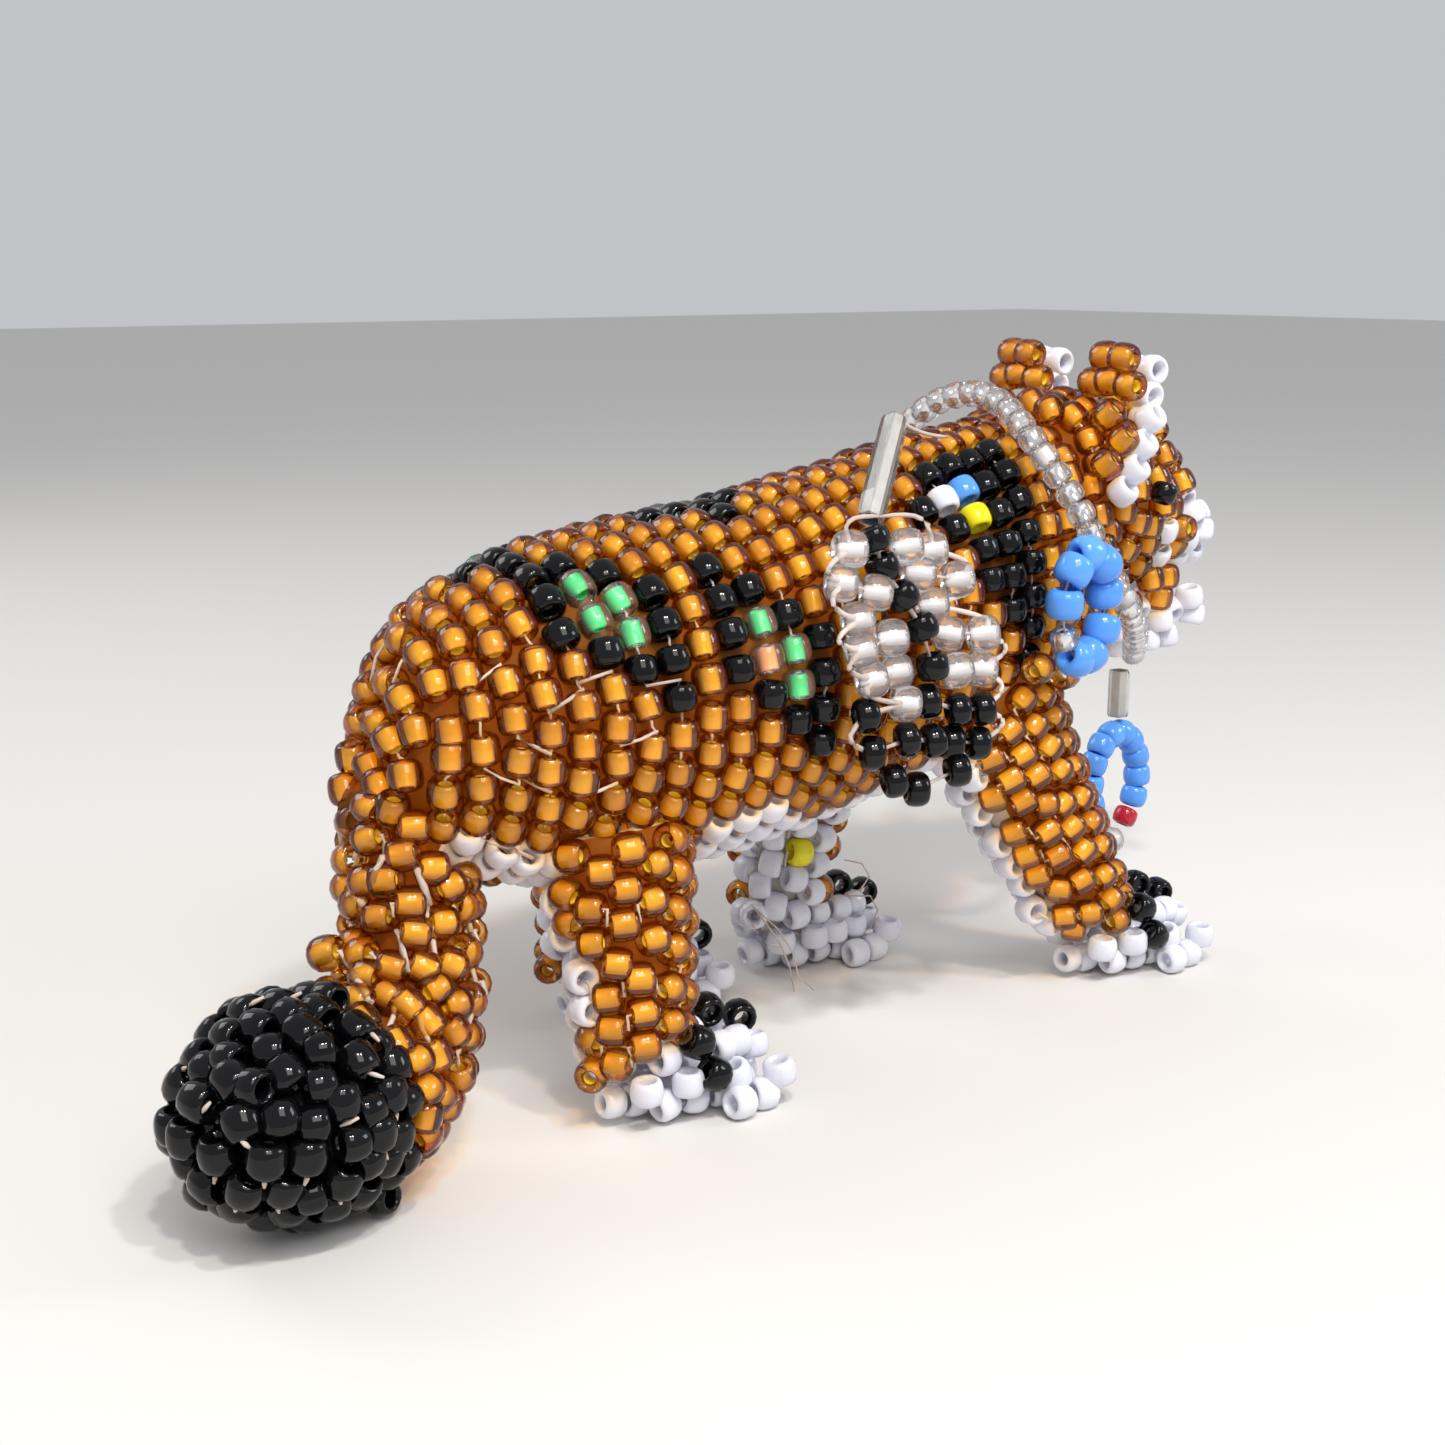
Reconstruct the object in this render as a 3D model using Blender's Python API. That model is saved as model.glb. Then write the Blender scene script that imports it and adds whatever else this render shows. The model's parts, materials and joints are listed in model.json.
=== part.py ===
"""A small walking spotted cat sewn from glass seed beads over a stuffed body, with bead ornaments that swing.

Metres, +Z up. The head points to +X and the animal's left side is +Y. The origin lies on the ground,
under the middle of the figure's box. Tables below are in millimetres.
"""

import math

import bmesh
import bpy
from mathutils import Vector

MM = 0.001
ORIGIN = Vector((2.156, -1.426, 0.0))  # the box's middle, in the frame that the tables use
BEAD_WALL = 2.2  # thickness of one layer of beads
GAP = 0.3  # clearance between neighbouring pieces
EDGE_GAP = 0.17  # how far a panel's edge draws back from the seam with its neighbour

# Stations along a tube: x, y, z, half width, half height (for a leg: half width, half depth).
TORSO = [
    (-27.6, -1.6, 24.6, 3.0, 3.6),
    (-25.2, -1.4, 24.3, 5.8, 6.8),
    (-20.6, -0.8, 24.5, 8.8, 9.8),
    (-13.0, -0.1, 24.9, 10.6, 11.5),
    (-4.0, 0.0, 25.4, 11.0, 12.0),
    (5.0, 0.0, 26.6, 10.8, 12.0),
    (13.0, 0.0, 28.2, 10.4, 12.0),
    (20.0, 0.0, 30.0, 9.6, 11.6),
    (26.0, 0.0, 32.0, 8.6, 10.2),
    (30.0, 0.0, 33.0, 7.2, 8.6),
    (32.5, 0.0, 33.4, 3.6, 4.4),
]
HEAD = [
    (26.0, 0.0, 35.0, 7.0, 7.4),
    (29.0, 0.0, 35.3, 7.7, 8.2),
    (32.0, 0.0, 35.1, 7.6, 8.2),
    (35.0, 0.0, 34.2, 6.7, 7.2),
    (38.0, 0.0, 33.2, 5.6, 5.9),
    (40.2, 0.0, 32.6, 5.0, 4.9),
]
MUZZLE = [
    (40.5, 0.0, 32.4, 4.8, 4.1),
    (43.0, 0.0, 32.0, 4.3, 3.7),
    (44.7, 0.0, 31.6, 3.3, 3.0),
    (45.4, 0.0, 31.5, 1.8, 1.7),
]
JAW = [
    (35.8, 0.0, 26.8, 3.4, 1.5),
    (39.6, 0.0, 25.5, 4.0, 1.9),
    (42.6, 0.0, 25.8, 3.2, 1.6),
    (44.2, 0.0, 26.4, 1.5, 0.9),
]
TAIL = [
    (-21.5, -0.8, 24.0, 5.2, 5.2),
    (-24.9, -1.6, 18.5, 4.8, 4.8),
    (-25.6, -2.8, 13.0, 4.6, 4.6),
    (-27.6, -5.0, 8.3, 5.2, 5.2),
    (-31.6, -6.8, 6.6, 6.3, 6.3),
    (-36.8, -8.4, 7.1, 7.0, 7.0),
    (-41.4, -9.8, 7.5, 4.4, 4.4),
]
TAIL_TIP_START = 0.66  # where along the tail the black tip begins
EAR = [
    (29.8, 4.5, 36.5, 2.6, 1.05),
    (30.2, 4.7, 41.0, 2.9, 1.1),
    (30.9, 4.7, 44.8, 2.2, 1.05),
    (31.2, 4.6, 46.6, 0.9, 0.7),
]
EAR_LINING_FORWARD = 2.5
EAR_LINING_SCALE = 0.84
LEGS = {
    "hind_right": [
        (-13.2, -4.4, 23.0, 5.4, 6.4),
        (-13.4, -6.2, 17.0, 4.9, 5.6),
        (-13.4, -7.4, 11.5, 4.4, 4.8),
        (-13.2, -7.9, 6.5, 4.0, 4.4),
        (-12.8, -8.0, 3.2, 3.7, 4.0),
    ],
    "hind_left": [
        (-8.6, 4.4, 23.0, 5.4, 6.4),
        (-7.7, 6.2, 17.0, 4.9, 5.6),
        (-6.9, 7.2, 11.5, 4.4, 4.8),
        (-6.5, 7.6, 6.5, 4.0, 4.4),
        (-6.2, 7.7, 3.2, 3.7, 4.0),
    ],
    "front_right": [
        (15.8, -4.5, 27.0, 5.2, 6.4),
        (18.4, -6.0, 21.0, 4.9, 6.3),
        (22.2, -6.8, 14.0, 4.4, 5.4),
        (26.0, -7.0, 8.0, 4.1, 4.6),
        (28.5, -7.1, 4.0, 3.7, 4.1),
    ],
    "front_left": [
        (12.8, 4.5, 27.0, 5.2, 6.2),
        (12.2, 6.1, 21.0, 4.9, 5.6),
        (11.2, 7.2, 14.0, 4.4, 4.9),
        (10.3, 7.8, 7.5, 4.0, 4.4),
        (9.9, 8.0, 3.6, 3.7, 4.0),
    ],
}
# First and last of a leg's twelve strips that belong to the amber outer panel, counted from the
# front round the outer side.
OUTER_STRIPS = {"hind": (-2, 5), "front": (-2, 4)}
# Paw stations: distance in front of the ankle, height, half width, half height.
PAW = [
    (-3.0, 3.4, 1.8, 1.7),
    (-1.9, 3.1, 3.1, 2.9),
    (0.0, 2.7, 3.9, 3.2),
    (4.0, 2.7, 4.1, 3.2),
    (7.2, 2.7, 3.6, 3.0),
    (8.8, 2.8, 2.0, 1.9),
]
CLAW_STATION = 0.7  # where along the paw the claws' strand crosses it
CLAW_RADIUS = 1.05
CLAW_SUNK = 0.7  # how far the strand's middle lies below the paw's surface
CLAW_SPREAD = 98.0  # degrees down each side of the paw from its top

# Rosettes on the hide: x of the middle, degrees from the spine, half length, half height in degrees.
ROSETTES = {
    "rump_rosette": (-15.2, 50.0, 4.6, 29.0),
    "flank_rosette": (-3.6, 76.0, 4.4, 30.0),
}
SPINE_ROSETTE = (-3.6, 0.0, 3.7, 34.0)
PATCH_FRONT_X = 18.6
PATCH_WIDTH = 9.5
PATCH_TOP, PATCH_BOTTOM = 26.0, 116.0
BELLY_FROM = 146.0
BELLY_REAR_X, BELLY_FRONT_X = -17.0, 26.0

COLLAR_RADIUS = 1.0
# The right half of the collar, from the back of the neck down to the throat.
COLLAR_HALF = [
    (21.6, 0.0, 43.2),
    (21.1, -3.8, 42.3),
    (20.9, -7.4, 39.6),
    (22.2, -9.9, 35.9),
    (24.4, -10.6, 31.8),
    (28.2, -9.6, 28.2),
    (33.0, -6.0, 25.2),
    (37.0, -2.2, 22.6),
    (38.0, 0.0, 22.2),
]

BUGLE_RADIUS = 0.95
SHOULDER_BUGLE_TOP = (9.5, -5.2, 42.2)
SHOULDER_BUGLE_BOTTOM = (3.9, -9.5, 36.6)
CAP_BEAD = (3.6, -9.7, 35.2)
# The feather's chart from its top to its bottom: q quill, r rear vane, f front vane, t tip.
FEATHER_CHART = [
    "..q...",
    ".rqff.",
    "rrqfff",
    "rrqqff",
    "rrrqff",
    "tttttt",
    "tttttt",
    ".tttt.",
]
FEATHER_REAR_X, FEATHER_TOP_Z = 0.3, 34.0
FEATHER_WIDTH, FEATHER_HEIGHT = 12.8, 16.6
FEATHER_CLEARANCE = 0.6
FEATHER_FLANK = (10.9, 26.8, 12.0)  # half width, middle height and half height of the flank under it

LOOP_BEAD_RADIUS = 1.3
SIDE_LOOP_CENTRE = (20.7, -12.2, 29.6)
SIDE_LOOP_HALF = (2.1, 3.7)
SIDE_LOOP_CRYSTAL_AT = 212.0  # degrees round the loop, from the front over the top
CHEST_X = 38.1
CHEST_BUGLE_Z = (20.9, 17.2)
CHEST_RING_CENTRE_Z = 11.8
CHEST_RING_HALF = (2.7, 4.0)
CHEST_RING_RADIUS = 1.1

AMBER = (0.72, 0.36, 0.04)
BLACK = (0.01, 0.01, 0.012)
WHITE = (0.75, 0.77, 0.82)
GREEN = (0.10, 0.62, 0.22)
BLUE = (0.08, 0.30, 0.80)
RED = (0.45, 0.01, 0.03)
CRYSTAL = (0.82, 0.84, 0.86)
SILVER = (0.70, 0.70, 0.68)
STUFFING = (0.30, 0.10, 0.03)


def clear_scene():
    for obj in list(bpy.data.objects):
        bpy.data.objects.remove(obj, do_unlink=True)


def bead_material(name, colour, roughness=0.15, metallic=0.0):
    material = bpy.data.materials.new(name)
    material.use_nodes = True
    shader = material.node_tree.nodes["Principled BSDF"]
    shader.inputs["Base Color"].default_value = (*colour, 1.0)
    shader.inputs["Roughness"].default_value = roughness
    shader.inputs["Metallic"].default_value = metallic
    return material


def spline(rows, t):
    """The rows' values at t from 0 to 1, on a smooth curve through all of them."""
    last = len(rows) - 1
    position = min(max(t, 0.0), 1.0) * last
    i = min(int(position), last - 1)
    f = position - i
    before, start, end, after = rows[max(i - 1, 0)], rows[i], rows[i + 1], rows[min(i + 2, last)]
    return [
        0.5 * (2 * b + (c - a) * f + (2 * a - 5 * b + 4 * c - d) * f * f + (3 * b - a - 3 * c + d) * f**3)
        for a, b, c, d in zip(before, start, end, after)
    ]


def along(rows, up=(0.0, 0.0, 1.0)):
    """A tube's surface: a function of u along it, v round it from its up side, and depth inwards."""
    up = Vector(up)
    step = 0.001

    def surface(u, v, depth):
        tangent = Vector(spline(rows, u + step)[:3]) - Vector(spline(rows, u - step)[:3])
        tangent.normalize()
        side = up.cross(tangent).normalized()
        upward = tangent.cross(side)
        row = spline(rows, u)
        angle = 2 * math.pi * v
        beyond = min(u, 0.0) if u < 0.0 else max(u - 1.0, 0.0)
        return (
            Vector(row[:3])
            + tangent * beyond
            - side * math.sin(angle) * (row[3] - depth)
            + upward * math.cos(angle) * (row[4] - depth)
        )

    return surface


def add_object(name, bm, material, pivot):
    """Turns a mesh in millimetres into an object in metres, with its origin at the pivot."""
    bmesh.ops.recalc_face_normals(bm, faces=bm.faces)
    place = Vector(pivot) if pivot else ORIGIN
    for vertex in bm.verts:
        vertex.co = (vertex.co - place) * MM
    mesh = bpy.data.meshes.new(name)
    bm.to_mesh(mesh)
    bm.free()
    mesh.materials.append(material)
    mesh.shade_smooth()
    mesh.set_sharp_from_angle(angle=math.radians(40))
    obj = bpy.data.objects.new(name, mesh)
    obj.location = (place - ORIGIN) * MM
    bpy.context.scene.collection.objects.link(obj)
    return obj


def panel(name, surface, size, inside, material, depth=BEAD_WALL, lift=0.0, wraps=True, pivot=None):
    """One panel of a surface's wall: the cells (i, j) of a grid for which inside(i, j) is true."""
    rings, sides = size
    chosen = {(i, j) for i in range(rings) for j in range(sides) if inside(i, j)}

    def cell(i, j):
        key = (i, j % sides) if wraps else (i, j)
        return key if key in chosen else None

    def middle(key):
        return surface((key[0] + 0.5) / rings, (key[1] + 0.5) / sides, 0.0)

    bm = bmesh.new()
    corners = {}

    def corner(i, j, owner):
        around = [cell(i - 1, j - 1), cell(i - 1, j), cell(i, j - 1), cell(i, j)]
        present = [key for key in around if key]
        diagonal = len(present) == 2 and (not around[0]) == (not around[3])
        key = (i, j % sides if wraps else j, owner if diagonal else None)
        if key not in corners:
            shift = Vector()
            if len(present) < 4:
                pull_to = [owner] if diagonal else present
                centre = sum((middle(k) for k in pull_to), Vector()) / len(pull_to)
                towards = centre - surface(i / rings, j / sides, 0.0)
                reach = EDGE_GAP * (1.4 if len(pull_to) == 1 else 1.0)
                shift = towards.normalized() * reach
            corners[key] = [
                bm.verts.new(surface(i / rings, j / sides, level) + shift) for level in (-lift, depth - lift)
            ]
        return corners[key]

    for i, j in sorted(chosen):
        ring = [corner(i, j, (i, j)), corner(i + 1, j, (i, j))]
        ring += [corner(i + 1, j + 1, (i, j)), corner(i, j + 1, (i, j))]
        bm.faces.new([pair[0] for pair in ring])
        bm.faces.new([pair[1] for pair in reversed(ring)])
        neighbours = [cell(i, j - 1), cell(i + 1, j), cell(i, j + 1), cell(i - 1, j)]
        for k, neighbour in enumerate(neighbours):
            if neighbour is None:
                first, second = ring[k], ring[(k + 1) % 4]
                bm.faces.new([first[0], first[1], second[1], second[0]])
    return add_object(name, bm, material, pivot)


def tube(name, surface, size, material, depth=0.0, span=(0.0, 1.0), floor=None, pivot=None):
    """A solid tube of the surface, closed at both ends; a floor flattens whatever lies below it."""
    rings, sides = size
    bm = bmesh.new()
    loops = []
    for i in range(rings + 1):
        u = span[0] + (span[1] - span[0]) * i / rings
        points = [surface(u, j / sides, depth) for j in range(sides)]
        if floor is not None:
            points = [Vector((p.x, p.y, max(p.z, floor))) for p in points]
        loops.append([bm.verts.new(p) for p in points])
    for low, high in zip(loops, loops[1:]):
        for j in range(sides):
            bm.faces.new([low[j], low[(j + 1) % sides], high[(j + 1) % sides], high[j]])
    bm.faces.new(loops[0])
    bm.faces.new(list(reversed(loops[-1])))
    return add_object(name, bm, material, pivot)


def strand(name, points, radius, material, rings=None, sides=8, up=(0.0, 0.0, 1.0), pivot=None):
    """A string of beads as one round bar along the points."""
    surface = along([(*point, radius, radius) for point in points], up)
    return tube(name, surface, (rings or 2 * (len(points) - 1), sides), material, pivot=pivot)


def bead(name, centre, radii, material, pivot=None):
    """A single round bead."""
    bm = bmesh.new()
    bmesh.ops.create_uvsphere(bm, u_segments=10, v_segments=6, radius=1.0)
    for vertex in bm.verts:
        vertex.co = Vector(centre) + Vector(a * b for a, b in zip(vertex.co, radii))
    return add_object(name, bm, material, pivot)


def envelope(name, rows, size, up=(0.0, 0.0, 1.0), floor=None):
    """A cutter that leaves the clearance all round a tube."""
    surface = along(rows, up)
    cutter = tube(name, surface, size, None, depth=-GAP, span=(0.0, 1.0), floor=floor)
    first = Vector(spline(rows, 0.0)[:3]) - ORIGIN
    last = Vector(spline(rows, 1.0)[:3]) - ORIGIN
    step = 1.0 / size[0]
    starts = (first - Vector(spline(rows, step)[:3]) + ORIGIN).normalized() * GAP * MM
    ends = (last - Vector(spline(rows, 1.0 - step)[:3]) + ORIGIN).normalized() * GAP * MM
    sides = size[1]
    for vertex in cutter.data.vertices[:sides]:
        vertex.co += starts
    for vertex in cutter.data.vertices[-sides:]:
        vertex.co += ends
    cutter.hide_render = True
    cutter.display_type = "WIRE"
    return cutter


def cut(obj, *cutters):
    for cutter in cutters:
        boolean = obj.modifiers.new("cut_" + cutter.name, "BOOLEAN")
        boolean.operation = "DIFFERENCE"
        boolean.solver = "EXACT"
        boolean.object = cutter


def rosette_shape(x, angle, middle_x, middle_angle, half_length, half_angle):
    """A six-sided spot, pointed at its top and bottom."""
    a = abs(x - middle_x) / half_length
    b = abs(angle - middle_angle) / half_angle
    return max(a, 0.55 * a + b) < 1.0


def patch_shape(x, angle):
    """The shoulder patch: a triangle with its upright side to the front and its point downwards."""
    if not PATCH_TOP < angle < PATCH_BOTTOM:
        return False
    drop = (angle - PATCH_TOP) / (PATCH_BOTTOM - PATCH_TOP)
    return PATCH_FRONT_X - PATCH_WIDTH * (1.0 - 0.72 * drop) < x < PATCH_FRONT_X


TORSO_GRID = (23, 28)


def torso_region(i, j):
    """The panel that a cell of the torso belongs to."""
    x = spline(TORSO, (i + 0.5) / TORSO_GRID[0])[0]
    angle = 360.0 * (j + 0.5) / TORSO_GRID[1]
    side = "right" if angle < 180.0 else "left"
    angle = min(angle, 360.0 - angle)
    if angle > BELLY_FROM and BELLY_REAR_X < x < BELLY_FRONT_X:
        return "belly_panel"
    if rosette_shape(x, angle, *SPINE_ROSETTE):
        return "spine_rosette"
    for name, place in ROSETTES.items():
        if rosette_shape(x, angle, *place):
            return f"{name}_{side}"
    if patch_shape(x, angle):
        return f"shoulder_patch_{side}"
    return "torso_hide"


def build_torso(paint):
    surface = along(TORSO)
    colours = {
        "torso_hide": "amber",
        "belly_panel": "white",
        "spine_rosette": "black",
        "rump_rosette_right": "green",
        "rump_rosette_left": "green",
        "flank_rosette_right": "green",
        "flank_rosette_left": "green",
        "shoulder_patch_right": "black",
        "shoulder_patch_left": "black",
    }
    for name, colour in colours.items():
        panel(name, surface, TORSO_GRID, lambda i, j, n=name: torso_region(i, j) == n, paint[colour])
    tube("torso_core", surface, (14, 16), paint["stuffing"], depth=BEAD_WALL + 0.6, span=(0.05, 0.95))


def build_head(paint, torso):
    surface = along(HEAD)
    head = envelope("head_envelope", HEAD, (8, 16))
    cut(panel("head_hide", surface, (7, 16), lambda i, j: True, paint["amber"]), torso)
    cut(tube("head_core", surface, (5, 12), paint["stuffing"], depth=BEAD_WALL + GAP + 0.1), torso)
    tube("muzzle", along(MUZZLE), (5, 14), paint["white"])
    cut(tube("lower_jaw", along(JAW), (5, 12), paint["white"]), head)
    bead("nose_bead", (46.4, 0.0, 31.9), (0.65, 1.1, 0.85), paint["black"])
    for side, sign in (("right", -1.0), ("left", 1.0)):
        bead(f"eye_bead_{side}", (35.4, sign * 7.6, 36.0), (1.0, 0.8, 1.0), paint["black"])
        back = [(x, sign * y, z, a, b) for x, y, z, a, b in EAR]
        front = [
            (x + EAR_LINING_FORWARD, y, 41.5 + (z - 41.5) * EAR_LINING_SCALE, a * EAR_LINING_SCALE, b)
            for x, y, z, a, b in back
        ]
        forward = (1.0, 0.0, 0.0)
        cut(tube(f"ear_{side}", along(back, forward), (5, 10), paint["amber"]), head)
        cut(tube(f"ear_lining_{side}", along(front, forward), (4, 10), paint["white"]), head)


def build_leg(name, rows, paint, torso):
    """Outer and inner panels over a stuffed core, a paw with a flat sole, and the claws' strand."""
    forward = (1.0, 0.0, 0.0)
    surface = along(rows, forward)
    ankle_x, ankle_y = rows[-1][0], rows[-1][1]
    paw_rows = [(ankle_x + dx, ankle_y, z, a, b) for dx, z, a, b in PAW]
    paw = envelope(f"{name}_paw_envelope", paw_rows, (8, 12), floor=-GAP)
    first, last = OUTER_STRIPS[name.split("_")[0]]
    strips = {(k if "right" in name else 11 - k) % 12 for k in range(first, last + 1)}
    grid = (7, 12)
    pieces = [
        panel(f"{name}_leg_outer", surface, grid, lambda i, j: j in strips, paint["amber"], depth=1.9),
        panel(f"{name}_leg_inner", surface, grid, lambda i, j: j not in strips, paint["white"], depth=1.9),
        tube(f"{name}_leg_core", surface, (5, 10), paint["stuffing"], depth=2.3),
    ]
    for piece in pieces:
        cut(piece, torso, paw)
    section = along(paw_rows)
    arch = []
    for k in range(7):
        around = (-CLAW_SPREAD + 2 * CLAW_SPREAD * k / 6) / 360.0
        point = section(CLAW_STATION, around, CLAW_SUNK)
        arch.append((point.x, point.y, point.z))
    strand(f"{name}_claws", arch, CLAW_RADIUS, paint["black"], rings=8, up=forward)
    arch_rows = [(*point, CLAW_RADIUS, CLAW_RADIUS) for point in arch]
    groove = envelope(f"{name}_claw_groove", arch_rows, (8, 8), up=forward)
    cut(tube(f"{name}_paw", section, (8, 12), paint["white"], floor=0.0), groove)


def build_tail(paint, torso):
    across = (-0.25, 1.0, 0.0)
    surface = along(TAIL, across)
    hide_rings, sides = 9, 14

    def upper_part(u, v, depth):
        return surface(u * TAIL_TIP_START, v, depth)

    cut(panel("tail_hide", upper_part, (hide_rings, sides), lambda i, j: True, paint["amber"]), torso)
    core_span = (0.0, TAIL_TIP_START - 0.02)
    core = tube("tail_core", surface, (8, 10), paint["stuffing"], BEAD_WALL + GAP + 0.1, core_span)
    cut(core, torso)
    tube("tail_tip", surface, (6, sides), paint["black"], span=(TAIL_TIP_START + 0.022, 1.0))


def build_collar(paint):
    left = [(x, -y, z) for x, y, z in reversed(COLLAR_HALF[1:-1])]
    right = COLLAR_HALF[:-1]
    strand("collar_strand", left + right, COLLAR_RADIUS, paint["crystal"], rings=34, up=(1.0, 0.0, 0.75))


def build_feather(paint):
    """A bugle stitched at its top to the withers, and a flat bead feather hanging from its lower end."""
    top, bottom = Vector(SHOULDER_BUGLE_TOP), Vector(SHOULDER_BUGLE_BOTTOM)
    strand("shoulder_bugle", [top, bottom], BUGLE_RADIUS, paint["silver"], rings=1, sides=10, pivot=top)
    bead("feather_cap_bead", CAP_BEAD, (0.95, 0.95, 0.85), paint["crystal"], pivot=bottom)
    half_width, middle, half_height = FEATHER_FLANK

    def sheet(u, v, depth):
        z = FEATHER_TOP_Z - FEATHER_HEIGHT * v
        rise = max(z - middle, 0.0) / half_height
        y = half_width * math.sqrt(1.0 - rise * rise) + FEATHER_CLEARANCE + BEAD_WALL - depth
        return Vector((FEATHER_REAR_X + FEATHER_WIDTH * u, -y, z))

    size = (len(FEATHER_CHART[0]), len(FEATHER_CHART))
    parts = {"quill": ("q", "black"), "vane_rear": ("r", "crystal"), "vane_front": ("f", "crystal")}
    parts["tip"] = ("t", "black")
    for part, (letter, colour) in parts.items():
        panel(
            f"feather_{part}",
            sheet,
            size,
            lambda i, j, wanted=letter: FEATHER_CHART[j][i] == wanted,
            paint[colour],
            wraps=False,
            pivot=bottom,
        )


def ring_points(centre, half, start, end, count):
    """Points round an upright oval in the XZ plane, by degrees from its front over its top."""
    angles = [math.radians(start + (end - start) * k / (count - 1)) for k in range(count)]
    return [
        (centre[0] + half[0] * math.cos(a), centre[1], centre[2] + half[1] * math.sin(a)) for a in angles
    ]


def build_side_loop(paint):
    """A closed loop of blue beads and one crystal bead, hanging from the collar on the right side."""
    hook = (SIDE_LOOP_CENTRE[0] + 0.6, SIDE_LOOP_CENTRE[1] + 0.6, SIDE_LOOP_CENTRE[2] + 6.0)
    sideways = (0.0, 1.0, 0.0)
    opening = 34.0
    points = ring_points(
        SIDE_LOOP_CENTRE,
        SIDE_LOOP_HALF,
        SIDE_LOOP_CRYSTAL_AT + opening - 360.0,
        SIDE_LOOP_CRYSTAL_AT - opening,
        13,
    )
    strand("side_loop", points, LOOP_BEAD_RADIUS, paint["blue"], rings=18, up=sideways, pivot=hook)
    crystal = ring_points(SIDE_LOOP_CENTRE, SIDE_LOOP_HALF, SIDE_LOOP_CRYSTAL_AT, 0.0, 2)[0]
    bead("side_loop_crystal", crystal, (0.85, 0.85, 0.75), paint["silver"], pivot=hook)


def build_chest_pendant(paint):
    """A bugle hanging under the throat, and a loop of blue and red beads with a clear drop below it."""
    high, low = CHEST_BUGLE_Z
    hook, link = (CHEST_X, 0.0, COLLAR_HALF[-1][2]), (CHEST_X, 0.0, low - 0.3)
    forward = (1.0, 0.0, 0.0)
    ends = [(CHEST_X, 0.0, high), (CHEST_X, 0.0, low)]
    strand("chest_bugle", ends, BUGLE_RADIUS, paint["silver"], 1, 10, forward, pivot=hook)
    centre = (CHEST_X, 0.0, CHEST_RING_CENTRE_Z)
    sideways = (0.0, 1.0, 0.0)
    arch = ring_points(centre, CHEST_RING_HALF, -28.0, 208.0, 11)
    strand("chest_ring", arch, CHEST_RING_RADIUS, paint["blue"], 16, up=sideways, pivot=link)
    reds = {"front": ring_points(centre, CHEST_RING_HALF, -54.0, 0.0, 2)[0]}
    reds["rear"] = ring_points(centre, CHEST_RING_HALF, 234.0, 0.0, 2)[0]
    for end, place in reds.items():
        bead(f"chest_ring_red_{end}", place, (0.78, 0.95, 0.65), paint["red"], pivot=link)
    drop = (centre[0], 0.0, centre[2] - CHEST_RING_HALF[1] - 1.0)
    bead("chest_drop_bead", drop, (1.0, 1.0, 0.85), paint["crystal"], pivot=link)


def main():
    clear_scene()
    paint = {
        "amber": bead_material("amber_lined_glass", AMBER),
        "black": bead_material("black_glass", BLACK, 0.08),
        "white": bead_material("white_glass", WHITE, 0.2),
        "green": bead_material("green_lined_glass", GREEN),
        "blue": bead_material("blue_glass", BLUE, 0.15),
        "red": bead_material("red_glass", RED, 0.12),
        "crystal": bead_material("crystal_glass", CRYSTAL, 0.08),
        "silver": bead_material("silver_lined_glass", SILVER, 0.2, 0.8),
        "stuffing": bead_material("fibre_stuffing", STUFFING, 0.9),
    }
    torso = envelope("torso_envelope", TORSO, (23, 28))
    build_torso(paint)
    build_head(paint, torso)
    for name, rows in LEGS.items():
        build_leg(name, rows, paint, torso)
    build_tail(paint, torso)
    build_collar(paint)
    build_feather(paint)
    build_side_loop(paint)
    build_chest_pendant(paint)


main()
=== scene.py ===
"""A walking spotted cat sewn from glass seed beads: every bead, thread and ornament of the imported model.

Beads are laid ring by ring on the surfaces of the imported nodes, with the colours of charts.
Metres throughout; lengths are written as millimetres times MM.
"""

import json
import math
import random

import bpy
import numpy as np
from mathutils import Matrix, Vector
from mathutils.bvhtree import BVHTree

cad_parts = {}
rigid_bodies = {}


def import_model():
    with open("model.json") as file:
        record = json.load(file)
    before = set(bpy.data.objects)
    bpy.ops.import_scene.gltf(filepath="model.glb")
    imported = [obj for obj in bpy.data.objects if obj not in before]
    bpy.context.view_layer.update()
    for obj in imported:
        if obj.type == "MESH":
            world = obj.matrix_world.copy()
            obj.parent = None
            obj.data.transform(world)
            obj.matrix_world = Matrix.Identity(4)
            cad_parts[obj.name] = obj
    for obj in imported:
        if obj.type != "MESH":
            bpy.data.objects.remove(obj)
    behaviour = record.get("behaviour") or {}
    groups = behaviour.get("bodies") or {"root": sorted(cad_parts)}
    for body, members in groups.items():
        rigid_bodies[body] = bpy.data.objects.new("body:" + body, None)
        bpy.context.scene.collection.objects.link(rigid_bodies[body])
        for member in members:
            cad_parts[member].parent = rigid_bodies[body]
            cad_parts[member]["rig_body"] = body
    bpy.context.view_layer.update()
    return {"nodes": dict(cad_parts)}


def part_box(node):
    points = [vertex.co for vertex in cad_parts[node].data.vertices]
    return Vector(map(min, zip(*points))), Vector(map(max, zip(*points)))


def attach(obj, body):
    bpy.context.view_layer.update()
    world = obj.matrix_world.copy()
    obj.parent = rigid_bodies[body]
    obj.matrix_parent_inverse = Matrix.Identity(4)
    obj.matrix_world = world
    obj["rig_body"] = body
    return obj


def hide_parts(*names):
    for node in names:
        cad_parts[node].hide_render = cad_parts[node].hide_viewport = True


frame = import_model()

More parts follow.
